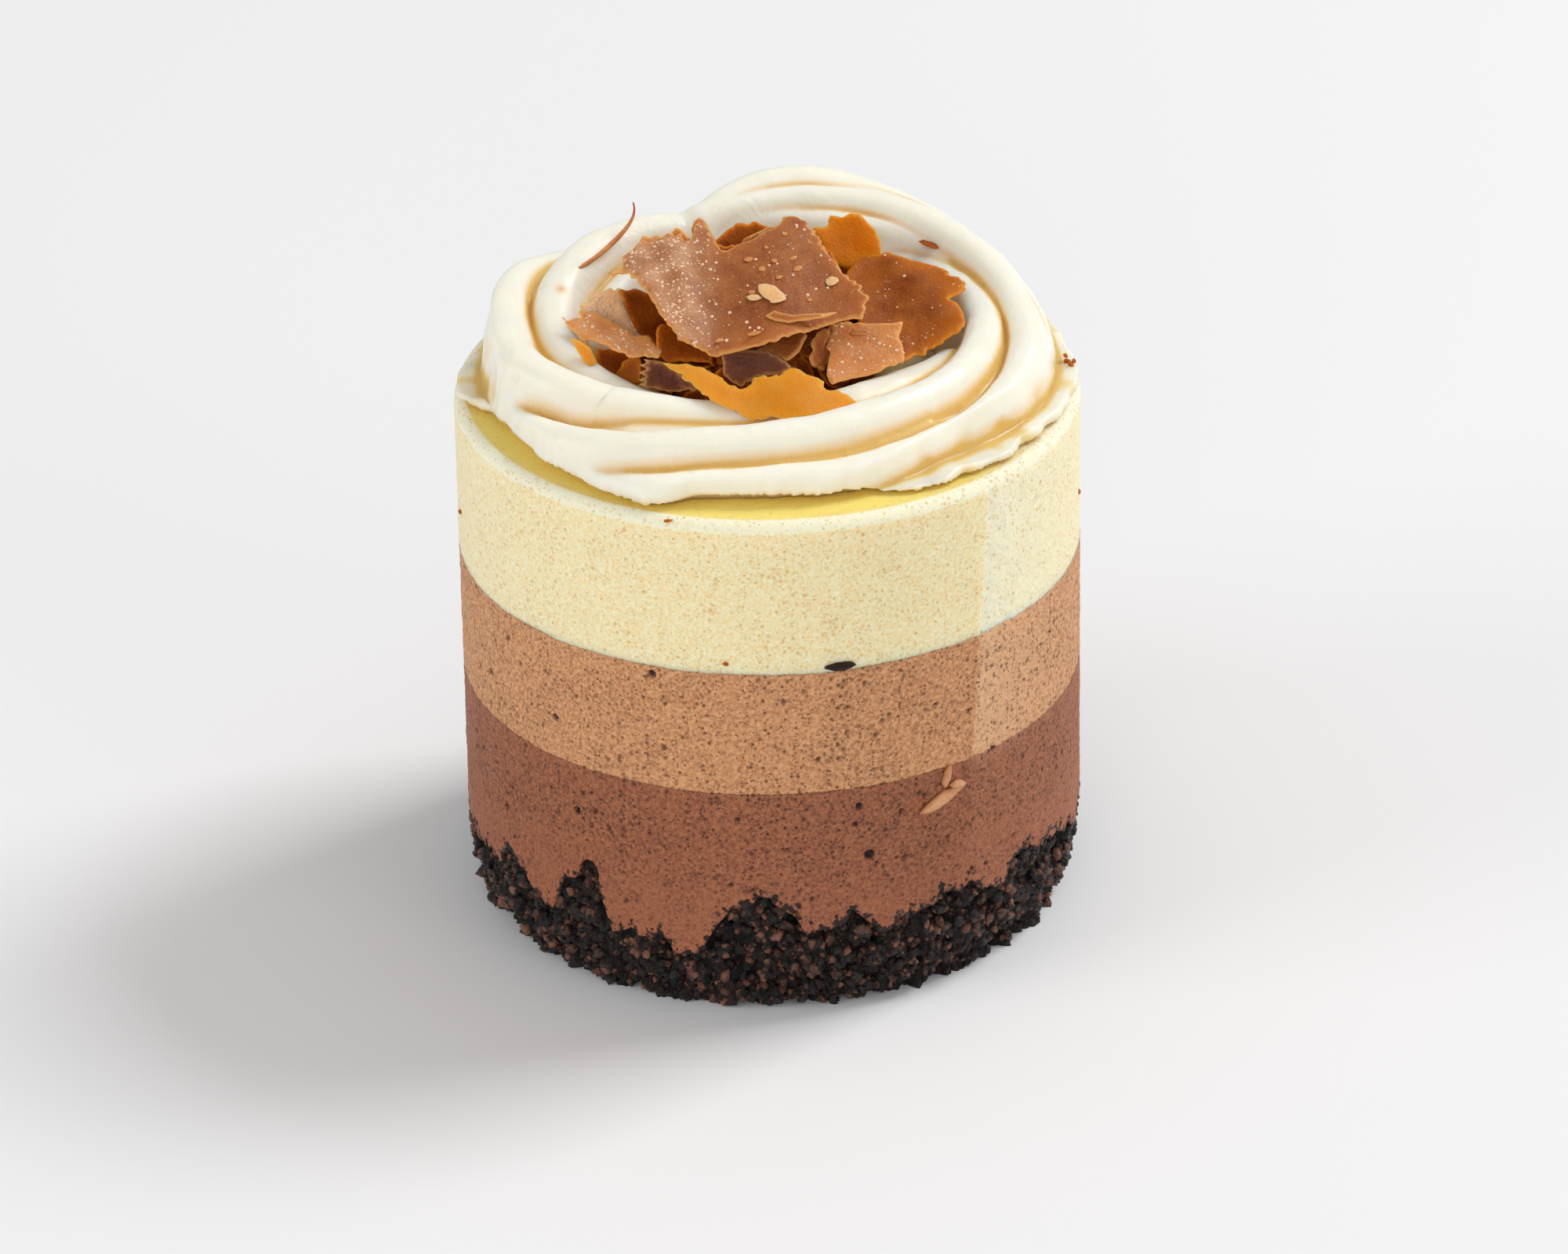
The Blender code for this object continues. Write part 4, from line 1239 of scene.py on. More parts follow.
@dataclass(frozen=True)
class Ridge:
    """A ridge that one tooth of the star nozzle leaves along the cream.

    Its stations are (angle, distance from the axis, height over the mousse).
    """

    rounding: float
    stations: tuple[tuple[float, float, float], ...]

    def at(self, angle: float) -> tuple[float, float]:
        """Distance and height at an angle, on a smooth curve through the stations.

        Args:
            angle: The angle in degrees, which may pass 360.

        Returns:
            The distance from the axis and the height over the mousse.
        """
        table = np.array(self.stations)
        angles, values = table[:, 0], table[:, 1:]
        slopes = np.gradient(values, angles, axis=0)
        i = int(np.clip(np.searchsorted(angles, angle) - 1, 0, len(angles) - 2))
        span = angles[i + 1] - angles[i]
        t = min(1.0, max(0.0, (angle - angles[i]) / span))
        a, b = 2 * t**3 - 3 * t**2 + 1, t**3 - 2 * t**2 + t
        c, d = -2 * t**3 + 3 * t**2, t**3 - t**2
        found = a * values[i] + b * span * slopes[i] + c * values[i + 1] + d * span * slopes[i + 1]
        return float(found[0]), float(found[1])


CREAM_RIDGES = (
    # From the pinched start at the back down the inside of the left
    Ridge(2.2, (
        (97, 19.2, 6.4), (112, 20.6, 8.6), (138, 21.5, 9.0), (160, 21.1, 7.9),
        (182, 19.6, 5.6), (202, 16.6, 4.2), (222, 12.6, 2.6),
    )),
    # From the outside of the left across the front to the tapered tail
    Ridge(2.3, (
        (124, 27.0, 3.6), (138, 27.4, 5.4), (156, 26.4, 7.0), (176, 25.0, 7.5),
        (198, 24.0, 7.3), (216, 20.6, 6.3), (238, 15.8, 5.0), (270, 13.3, 4.4),
        (300, 12.9, 4.1), (333, 14.4, 4.1), (354, 17.4, 3.9),
    )),
    # The main crest, from the left edge round the front and up the right
    Ridge(1.9, (
        (172, 26.4, 1.2), (184, 26.6, 2.0), (196, 26.5, 2.7), (206, 26.0, 3.2),
        (214, 25.9, 3.7), (226, 25.5, 4.5), (238, 24.6, 5.2), (252, 22.4, 5.7),
        (272, 20.4, 5.8), (300, 19.6, 6.1), (328, 20.2, 6.4), (360, 20.7, 6.5),
        (386, 20.9, 6.3), (410, 21.4, 5.6), (432, 22.0, 4.4),
    )),
    # The lower crest outside it, which climbs to the top of the back
    Ridge(1.7, (
        (216, 26.4, 1.2), (226, 26.7, 1.8), (237, 27.2, 2.2), (246, 27.0, 2.6),
        (256, 25.4, 3.0), (268, 24.6, 3.1), (290, 24.4, 3.4), (309, 24.6, 4.0),
        (328, 25.0, 5.0), (349, 25.0, 6.3), (373, 24.0, 7.4), (400, 24.2, 8.5),
        (422, 24.4, 9.3), (440, 22.8, 9.9), (458, 20.8, 9.9), (467, 20.0, 9.3),
    )),
    # The smear at the right edge, which becomes the outer crest of the back
    Ridge(2.0, (
        (322, 26.6, 1.4), (346, 27.0, 2.6), (368, 26.7, 3.8),
        (395, 26.6, 6.2), (424, 26.4, 9.2), (440, 25.2, 10.9), (456, 22.8, 10.7),
        (467, 20.6, 9.4),
    )),
    # The short crest between them on the inside of the back
    Ridge(1.5, (
        (398, 22.8, 6.6), (412, 22.9, 7.4), (428, 21.8, 8.0), (446, 20.6, 8.5),
        (462, 20.0, 8.7),
    )),
    # The faint crest on the inner wall at the left
    Ridge(1.5, ((132, 18.6, 6.4), (150, 17.9, 5.2), (170, 16.6, 3.6))),
)

# Where the cream ends outside, as (angle, reach of the folds, reach of the thin smear
# beyond them, height of the smear, height at which the lip stands off the mousse)
CREAM_BRIM = (
    (0, 27.6, 29.6, 1.2, 0.25), (20, 27.6, 29.2, 1.0, 0.3), (45, 27.4, 27.8, 0.3, 0.7),
    (90, 27.4, 27.4, 0.0, 0.9), (150, 27.8, 27.8, 0.0, 0.9), (164, 27.3, 27.6, 0.3, 0.8),
    (169, 27.0, 28.6, 0.8, 0.5), (175, 26.6, 29.7, 0.9, 0.4), (186, 26.3, 29.6, 0.9, 0.4),
    (191, 26.3, 28.2, 1.1, 0.5), (195, 26.5, 26.9, 1.0, 0.8), (203, 26.6, 26.6, 0.0, 1.3),
    (210, 26.9, 26.9, 0.0, 1.4), (218, 27.1, 27.1, 0.0, 1.3), (227, 27.6, 27.6, 0.0, 1.1),
    (233, 28.1, 28.1, 0.0, 0.9), (240, 28.8, 28.8, 0.0, 0.6), (246, 29.0, 29.0, 0.0, 0.5),
    (250, 28.0, 28.0, 0.0, 0.8), (254, 27.0, 27.0, 0.0, 1.1), (260, 26.4, 26.4, 0.0, 1.3),
    (270, 26.1, 26.1, 0.0, 1.3), (280, 26.4, 26.4, 0.0, 1.2), (288, 26.1, 26.1, 0.1, 1.0),
    (294, 25.8, 26.6, 0.5, 0.4), (300, 25.3, 27.8, 0.7, 0.35), (306, 24.9, 28.2, 0.9, 0.35),
    (311, 24.8, 27.5, 1.0, 0.35), (316, 24.9, 28.3, 0.9, 0.35), (323, 25.4, 28.6, 1.1, 0.4),
    (328, 25.9, 28.0, 1.2, 0.4), (334, 26.5, 28.8, 1.2, 0.4), (345, 27.2, 29.3, 1.2, 0.35),
    (360, 27.6, 29.6, 1.2, 0.25),
)


def brim_at(angles: np.ndarray) -> np.ndarray:
    """Reads the cream's brim at angles in degrees.

    Args:
        angles: Angles in degrees, from 0 to 360.

    Returns:
        For each angle the reach of the folds and of the smear, the smear's height and
        the lip's.
    """
    table = np.array(CREAM_BRIM)
    return np.stack([np.interp(angles, table[:, 0], table[:, k]) for k in (1, 2, 3, 4)], axis=-1)


@dataclass
class CreamRing:
    """The ring of whipped cream, piped in one turn and a half, and the bits on it."""

    ridges: tuple[Ridge, ...] = CREAM_RIDGES
    valley: float = 1.35
    flank: float = 2.5
    blend: float = 0.36
    reach_flank: float = 4.5
    fade: float = 9.0
    sink: float = 4.0
    sway: float = 0.35
    sunk_foot: float = 0.3
    columns: int = 700
    points: int = 128
    drag_width: float = 0.9
    drag_depth: float = 0.05
    stain_place: tuple[float, float] = (-19.5, 5.7)
    finish: WhippedCream = field(default_factory=lambda: WhippedCream("whipped_cream"))

    def __post_init__(self) -> None:
        """Reads the mousse's top, which the cream lies on."""
        self.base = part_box("white_mousse")[1].z / MM

    def ridges_at(self, angle: float) -> np.ndarray:
        """The ridges that cross an angle, as rows of radius, height, rounding, presence and number.

        Args:
            angle: The angle in degrees.

        Returns:
            A row for each ridge.
        """
        found = []
        for number, ridge in enumerate(self.ridges):
            first, last = ridge.stations[0][0], ridge.stations[-1][0]
            for turned_angle in (angle, angle + 360.0):
                outside = max(first - turned_angle, turned_angle - last, 0.0)
                if outside >= self.fade:
                    continue
                radius, height = ridge.at(turned_angle)
                presence = 1.0 - outside / self.fade
                sunk = height - self.sink * (1.0 - presence) ** 2
                found.append((radius, sunk, ridge.rounding, presence, number))
        return np.array(found)

    def profile(self, angle: float, radii: np.ndarray, ridges: np.ndarray) -> np.ndarray:
        """Height of the cream over the mousse.

        Args:
            angle: The angle in degrees.
            radii: Distances from the axis.
            ridges: The ridges that cross this angle.

        Returns:
            The height at each distance, below 0 where there is no cream.
        """
        place, height, rounding, presence = (ridges[:, [k]] for k in range(4))
        away = np.abs(radii - place)
        # Each ridge is round at its crest and straight on its flanks
        turn_over = rounding * self.flank / math.hypot(1.0, self.flank)
        near = np.minimum(away, turn_over)
        lobes = height - rounding + np.sqrt(rounding**2 - near**2) - self.flank * (away - near)
        weights = presence / ((radii - place) ** 2 + 4.0)
        body = (weights * height).sum(axis=0) / weights.sum(axis=0) - self.valley
        solid = ridges[ridges[:, 3] > 0.99, 0]
        outside = np.maximum(np.maximum(solid.min() - radii, radii - solid.max()), 0.0)
        stack = np.concatenate([lobes, (body - self.flank * outside)[None]])
        top = stack.max(axis=0)
        folds = top + self.blend * np.log(np.exp((stack - top) / self.blend).sum(axis=0))
        reach, smear_reach, smear, _ = brim_at(np.array(angle))
        folds = folds - self.reach_flank * np.maximum(radii - reach + 0.35, 0.0)
        film = smear - self.reach_flank * np.maximum(radii - smear_reach + 0.2, 0.0)
        film = film - self.reach_flank * np.maximum(reach - 1.5 - radii, 0.0)
        high = np.maximum(folds, film)
        return high + 0.2 * np.log(np.exp((folds - high) / 0.2) + np.exp((film - high) / 0.2))

    def height_at(self, x: float, y: float) -> float:
        """Height of the cream's surface above the origin, at a place.

        Args:
            x: The place's x.
            y: The place's y.

        Returns:
            The height.
        """
        angle = math.degrees(math.atan2(y, x)) % 360.0
        radii = np.array([math.hypot(x, y)])
        return self.base + float(self.profile(angle, radii, self.ridges_at(angle))[0])

    def sections(self) -> tuple[np.ndarray, np.ndarray, np.ndarray]:
        """Works out the cream's sections at even angles.

        Returns:
            The distance and height of each point over the mousse, both as (angle, point),
            and its place across the crests.
        """
        radii = np.arange(6.0, 31.0, 0.05)
        angles = np.linspace(0.0, 360.0, self.columns, endpoint=False)
        profiles = [self.profile(angle, radii, self.ridges_at(angle)) for angle in angles]
        starts = np.array([float(np.argmax(heights > 0.0)) for heights in profiles])
        # The foot inside the ring wanders smoothly where a crest sets in or runs out
        starts = np.minimum.reduce([np.roll(starts, k) for k in range(-12, 13)])
        starts = np.mean([np.roll(starts, k) for k in range(-12, 13)], axis=0).astype(int)
        far, high, off = [], [], []
        for angle, heights, inner in zip(angles, profiles, starts):
            ridges = self.ridges_at(angle)
            spot = on_circle(np.array([angle]), 26.0, 0.0)
            sway = float(GRAIN.layered(spot, 4.0, 3)[0])
            lip = brim_at(np.array(angle))[3] * (1.0 + 0.25 * float(GRAIN.smooth(spot + 9.0, 3.0)[0]))
            outer = len(heights) - 1 - int(np.argmax(heights[::-1] > lip))
            r, z = radii[inner : outer + 1].copy(), np.maximum(heights[inner : outer + 1], -self.sunk_foot)
            z[0] = -self.sunk_foot
            r += self.sway * sway * np.clip((r - r[-1] + 2.0) / 2.0, 0.0, 1.0) ** 2
            r *= min(1.0, 29.9 / r[-1])
            length = np.concatenate([[0.0], np.cumsum(np.hypot(np.diff(r), np.diff(z)))])
            spaced = np.linspace(0.0, length[-1], self.points)
            r, z = np.interp(spaced, length, r), np.interp(spaced, length, z)
            edge, rise = r[-1], z[-1]
            # Under the lip the cream draws back to where it sticks to the mousse
            hem_r = edge - np.array([0.05, 0.3, 0.8, 1.3, 1.8])
            hem_z = rise * np.array([0.82, 0.66, 0.5, 0.3, 0.0]) - (0.0, 0.0, 0.0, 0.0, self.sunk_foot)
            section = np.concatenate([r, hem_r, [(r[0] + edge) / 2]])
            far.append(section)
            high.append(np.concatenate([z, hem_z, [-2.0 * self.sunk_foot]]))
            gap = section[:, None] - ridges[:, 0]
            near = ridges[:, 3] * np.exp(-((gap / 1.6) ** 2)) + 1e-9
            off.append((near * (gap + 5.0 * ridges[:, 4])).sum(axis=1) / near.sum(axis=1))
        return np.array(far), np.array(high), np.array(off)

    def build(self) -> None:
        """Builds the ring of cream, its drag lines and creases, and the bits on it."""
        far, high, off = self.sections()
        angles = np.linspace(0.0, 360.0, self.columns, endpoint=False)[:, None]
        rest = on_circle(angles, far, self.base + high)
        ahead = np.roll(rest, -1, axis=0) - np.roll(rest, 1, axis=0)
        across = np.roll(rest, -1, axis=1) - np.roll(rest, 1, axis=1)
        normal = np.cross(across, ahead)
        normal /= np.maximum(np.linalg.norm(normal, axis=-1, keepdims=True), 1e-9)
        run = np.radians(angles) * 24.0
        drag = np.stack([off / self.drag_width, run / 9.0 + 0 * far, 0 * far], axis=-1)
        wobble = 0.16 * GRAIN.layered(rest, 6.0, 2) + 0.03 * GRAIN.smooth(rest + 5.0, 1.2)
        wobble += self.drag_depth * GRAIN.layered(drag, 1.0, 2)
        brim = brim_at(angles[:, 0])
        smear = np.clip((far - brim[:, :1] + 0.3) / 0.6, 0.0, 1.0)
        smear *= np.clip((brim[:, 1:2] - brim[:, :1] - 0.2) / 0.5, 0.0, 1.0)
        smear_gap_shade = 1.8 * GRAIN.smooth(rest + 13.0, 2.6)
        wobble += smear * 0.25 * GRAIN.smooth(rest + 3.0, 3.2)
        laid = np.clip(high / 0.8, 0.0, 1.0)
        points = rest + normal * (wobble * laid)[..., None]
        count, loop = far.shape
        here = np.arange(count)[:, None] * loop
        there = (np.arange(count)[:, None] + 1) % count * loop
        j = np.arange(loop)
        k = (j + 1) % loop
        quads = np.stack([here + j, here + k, there + k, there + j], axis=-1).reshape(-1, 4)
        mesh = plain_mesh("cream_ring", points.reshape(-1, 3), quads)
        # Painted shade: the creases, the low foot, the inner side and the gaps in the smear take the crease
        # tint
        paint(mesh, CREASE_SHADE, np.clip(self.creases(high) + 0.7 * smear * np.clip(smear_gap_shade, 0.0, 1.0), 0.0, 1.0))
        away = np.linalg.norm(points[..., :2] - np.array(self.stain_place), axis=-1)
        paint(mesh, STAIN, 0.7 * np.exp(-((away / 0.5) ** 2)))
        hand_over(show("cream_ring", mesh, self.finish), "cream", "cream_swirl")
        self.build_bits()

    def creases(self, high: np.ndarray) -> np.ndarray:
        """How much painted shade each point takes, from 0 to 1: in a crease, low down and on the inner side.

        Args:
            high: Heights over the mousse, as (angle, point).

        Returns:
            The painted shade at each point.
        """
        deep = np.zeros(high.shape)
        for width, gain in ((9, 0.12), (27, 0.5)):
            padded = np.pad(high, ((0, 0), (width // 2, width // 2)), mode="edge")
            around = np.stack([padded[:, i : i + high.shape[1]] for i in range(width)]).mean(axis=0)
            deep += 0.5 * np.clip((around - high) / gain, 0.0, 1.0)
        inner = np.arange(high.shape[1]) < high.argmax(axis=1)[:, None]
        low = np.clip(1.0 - high / 1.4, 0.0, 1.0) * 0.5 + inner * np.clip(1.0 - high / 4.5, 0.0, 1.0) * 0.6
        return np.clip(np.maximum(deep * 1.5, low), 0.0, 1.0)

    def build_bits(self) -> None:
        """Lays the chips, the crumb and the curled sliver of chocolate on the cream."""
        chips = [
            Flake((x, y, self.height_at(x, y) + lift), size, turn, seed=seed, thickness=0.4)
            for x, y, lift, size, turn, seed in (
                (-26.6, -7.6, 0.1, (1.3, 0.5), (10, 10, 40), 11),
                (16.2, 15.0, 0.15, (2.9, 1.0), (-10, 10, -20), 12),
                (28.7, 0.6, 0.0, (1.0, 0.6), (60, 30, 10), 13),
                (29.0, -0.1, 0.0, (1.0, 0.7), (10, 60, 50), 14),
                (29.2, 0.5, 0.0, (0.9, 0.7), (80, -20, 70), 15),
                (28.5, 1.0, 0.5, (0.8, 0.5), (30, 20, 90), 16),
            )
        ]
        hand_over(Flake.joined("chips_on_cream", chips, Chocolate.DEEP), "chocolate")
        strands = (
            (0.5, (
                (-12.6, 15.9, 64.1), (-12.3, 15.9, 63.1), (-13.1, 14.5, 62.1), (-14.6, 12.8, 61.3),
                (-16.1, 10.7, 60.8), (-17.7, 9.2, 60.4), (-19.1, 8.1, 60.1),
            )),
            (0.45, ((-16.0, 11.0, 60.9), (-17.0, 9.7, 60.6), (-17.6, 9.6, 60.2), (-18.2, 9.4, 60.4))),
        )
        for number, (thickness, path) in enumerate(strands):
            line = bpy.data.meshes.new("sliver_path")
            ends = [(i, i + 1) for i in range(len(path) - 1)]
            line.from_pydata([tuple(c * MM for c in spot) for spot in path], ends, [])
            settings = {"Thickness": thickness * MM, "Finish": Chocolate.TAN.value.material()}
            name = f"curled_sliver_{number}"
            hand_over(show(name, grown(name, strand_tree(), line, settings)), "chocolate")


# The shavings


def smooth_outline(
    outline: Sequence[tuple[float, float]], step: float, wear: float, seed: int
) -> np.ndarray:
    """Turns an outline's corners into the broken edge of real chocolate.

    Args:
        outline: Corners in millimetres, anticlockwise or clockwise.
        step: Distance between the new points.
        wear: How far the broken edge strays.
        seed: Shifts the noise, so that no two outlines break alike.

    Returns:
        The new outline's points.
    """
    corners = np.array(outline, float)
    following = np.roll(corners, -1, axis=0)
    cut = np.stack([0.9 * corners + 0.1 * following, 0.1 * corners + 0.9 * following], axis=1).reshape(-1, 2)
    closed = np.concatenate([cut, cut[:1]])
    length = np.concatenate([[0.0], np.cumsum(np.linalg.norm(np.diff(closed, axis=0), axis=1))])
    count = max(10, int(length[-1] / step))
    spaced = np.linspace(0.0, length[-1], count, endpoint=False)
    points = np.stack([np.interp(spaced, length, closed[:, k]) for k in (0, 1)], axis=-1)
    along = np.roll(points, -1, axis=0) - np.roll(points, 1, axis=0)
    out = np.stack([along[:, 1], -along[:, 0]], axis=-1)
    out /= np.maximum(np.linalg.norm(out, axis=1, keepdims=True), 1e-9)
    spot = np.concatenate([points, np.full((count, 1), 13.7 * seed)], axis=1)
    # Here and there the edge has torn into teeth, elsewhere it broke cleanly
    torn = np.clip(0.25 + 2.0 * GRAIN.smooth(spot + 3.0, 3.0), 0.0, 1.0)
    teeth = np.abs(GRAIN.smooth(spot + 5.0, 1.3)) + 0.5 * GRAIN.smooth(spot + 8.0, 0.6)
    stray = 0.4 * GRAIN.smooth(spot, 2.4) + torn * (3.2 * teeth - 1.0) + 0.12 * GRAIN.smooth(spot, 0.4)
    return points + out * (wear * stray)[:, None]


def away_from(outline: np.ndarray, points: np.ndarray) -> tuple[np.ndarray, np.ndarray]:
    """How far points are from an outline, and whether they are inside it.

    Args:
        outline: The outline's points.
        points: The points to test.

    Returns:
        The distance to the outline, and whether each point is inside.
    """
    nearest = np.full(len(points), 1e9)
    inside = np.zeros(len(points), bool)
    for a, b in zip(outline, np.roll(outline, -1, axis=0)):
        edge = b - a
        t = np.clip(((points - a) @ edge) / max(edge @ edge, 1e-12), 0.0, 1.0)
        nearest = np.minimum(nearest, np.linalg.norm(points - a - t[:, None] * edge, axis=1))
        crosses = (a[1] > points[:, 1]) != (b[1] > points[:, 1])
        if a[1] != b[1]:
            inside ^= crosses & (points[:, 0] < edge[0] * (points[:, 1] - a[1]) / edge[1] + a[0])
    return nearest, inside


def plate(outline: np.ndarray, spacing: float, lift: Callable, thickness: Callable) -> tuple:
    """Fills an outline with a thin solid plate that may bend.

    Args:
        outline: The outline's points in the plate's own plane.
        spacing: Distance between the points inside it.
        lift: Gives the height of the plate's middle at points, as (n, 2) to (n,).
        thickness: Gives the plate's thickness from the distance to its edge.

    Returns:
        The points (n, 3), the triangles, the plane points and their distance to the edge.
    """
    low, high = outline.min(axis=0), outline.max(axis=0)
    grid_u, grid_v = np.meshgrid(
        np.arange(low[0], high[0] + spacing, spacing), np.arange(low[1], high[1] + spacing, spacing * 0.866)
    )
    grid_u[1::2] += spacing / 2
    grid = np.stack([grid_u.ravel(), grid_v.ravel()], axis=-1)
    distance, inside = away_from(outline, grid)
    grid = grid[inside & (distance > spacing * 0.45)]
    flat = [Vector(p) for p in np.concatenate([outline, grid])]
    verts, _, faces, *_ = delaunay_2d_cdt(flat, [], [list(range(len(outline)))], 1, 1e-6)
    plane = np.array([tuple(v) for v in verts])
    triangles = np.array([list(face) for face in faces])
    distance, _ = away_from(outline, plane)
    distance[: len(outline)] = 0.0
    middle, half = lift(plane), thickness(distance) / 2
    upper = np.column_stack([plane, middle + half])
    lower = np.column_stack([plane, middle - half])
    count = len(plane)
    sides = np.concatenate([triangles[:, [0, 1]], triangles[:, [1, 2]], triangles[:, [2, 0]]])
    known = {(int(a), int(b)) for a, b in sides}
    border = np.array([(a, b) for a, b in sorted(known) if (b, a) not in known])
    a, b = border[:, 0], border[:, 1]
    wall = np.concatenate([np.stack(rim, axis=-1) for rim in ((b, a, a + count), (b, a + count, b + count))])
    faces = np.concatenate([triangles, triangles[:, ::-1] + count, wall])
    return np.concatenate([upper, lower]), faces, plane, distance


@dataclass(frozen=True)
class Flake:
    """A small flat flake: where it lies, its length and width, and how it is turned."""

    centre: tuple[float, float, float]
    size: tuple[float, float]
    turn: tuple[float, float, float]
    seed: int
    thickness: float = 0.4
    tip: float = 0.5

    def solid(self) -> tuple[np.ndarray, np.ndarray, np.ndarray]:
        """Works out the flake.

        Returns:
            Its points in place, its triangles, and 1 at its edge falling to 0 inside.
        """
        turn = np.linspace(0.0, math.tau, 14, endpoint=False)
        spot = np.stack([np.cos(turn), np.sin(turn), np.full(14, 3.1 * self.seed)], axis=-1)
        spread = 1.0 + 0.3 * GRAIN.smooth(spot, 0.9)
        pinch = self.tip + (1.0 - self.tip) * np.abs(np.sin(turn)) ** 0.5
        half = np.array(self.size) / 2
        across, along = np.cos(turn) * half[0] * spread, np.sin(turn) * half[1] * spread * pinch
        corners = np.stack([across, along], axis=-1)
        outline = smooth_outline(corners, max(0.12, min(self.size) / 8), 0.04, self.seed)
        points, faces, plane, distance = plate(
            outline, max(0.16, min(self.size) / 6),
            lambda p: 0.12 * GRAIN.smooth(np.column_stack([p, p[:, 0] * 0 + self.seed]), 1.6),
            lambda d: self.thickness * (0.25 + 0.75 * np.sqrt(np.clip(d / (min(self.size) / 3), 0.0, 1.0))),
        )
        turning = np.array(Euler([math.radians(a) for a in self.turn]).to_matrix())
        edge = np.exp(-distance / 0.12)
        return points @ turning.T + np.array(self.centre), faces, np.concatenate([edge, edge])

    @staticmethod
    def joined(name: str, flakes: Sequence["Flake"], kind: Chocolate) -> bpy.types.Object:
        """Makes one piece of several flakes.

        Args:
            name: The piece's name.
            flakes: The flakes.
            kind: The chocolate they are made of.

        Returns:
            The piece.
        """
        points, faces, edges, start = [], [], [], 0
        for flake in flakes:
            own, triangles, edge = flake.solid()
            points.append(own)
            faces.append(triangles + start)
            edges.append(edge)
            start += len(own)
        mesh = plain_mesh(name, np.concatenate(points), np.concatenate(faces))
        # The edge mark: on chocolate partly wear, partly a painted glow; a nut flake's edge is darker
        paint(mesh, EDGE_WEAR_AND_GLOW, 0.6 * np.concatenate(edges))
        return show(name, mesh, kind.value)


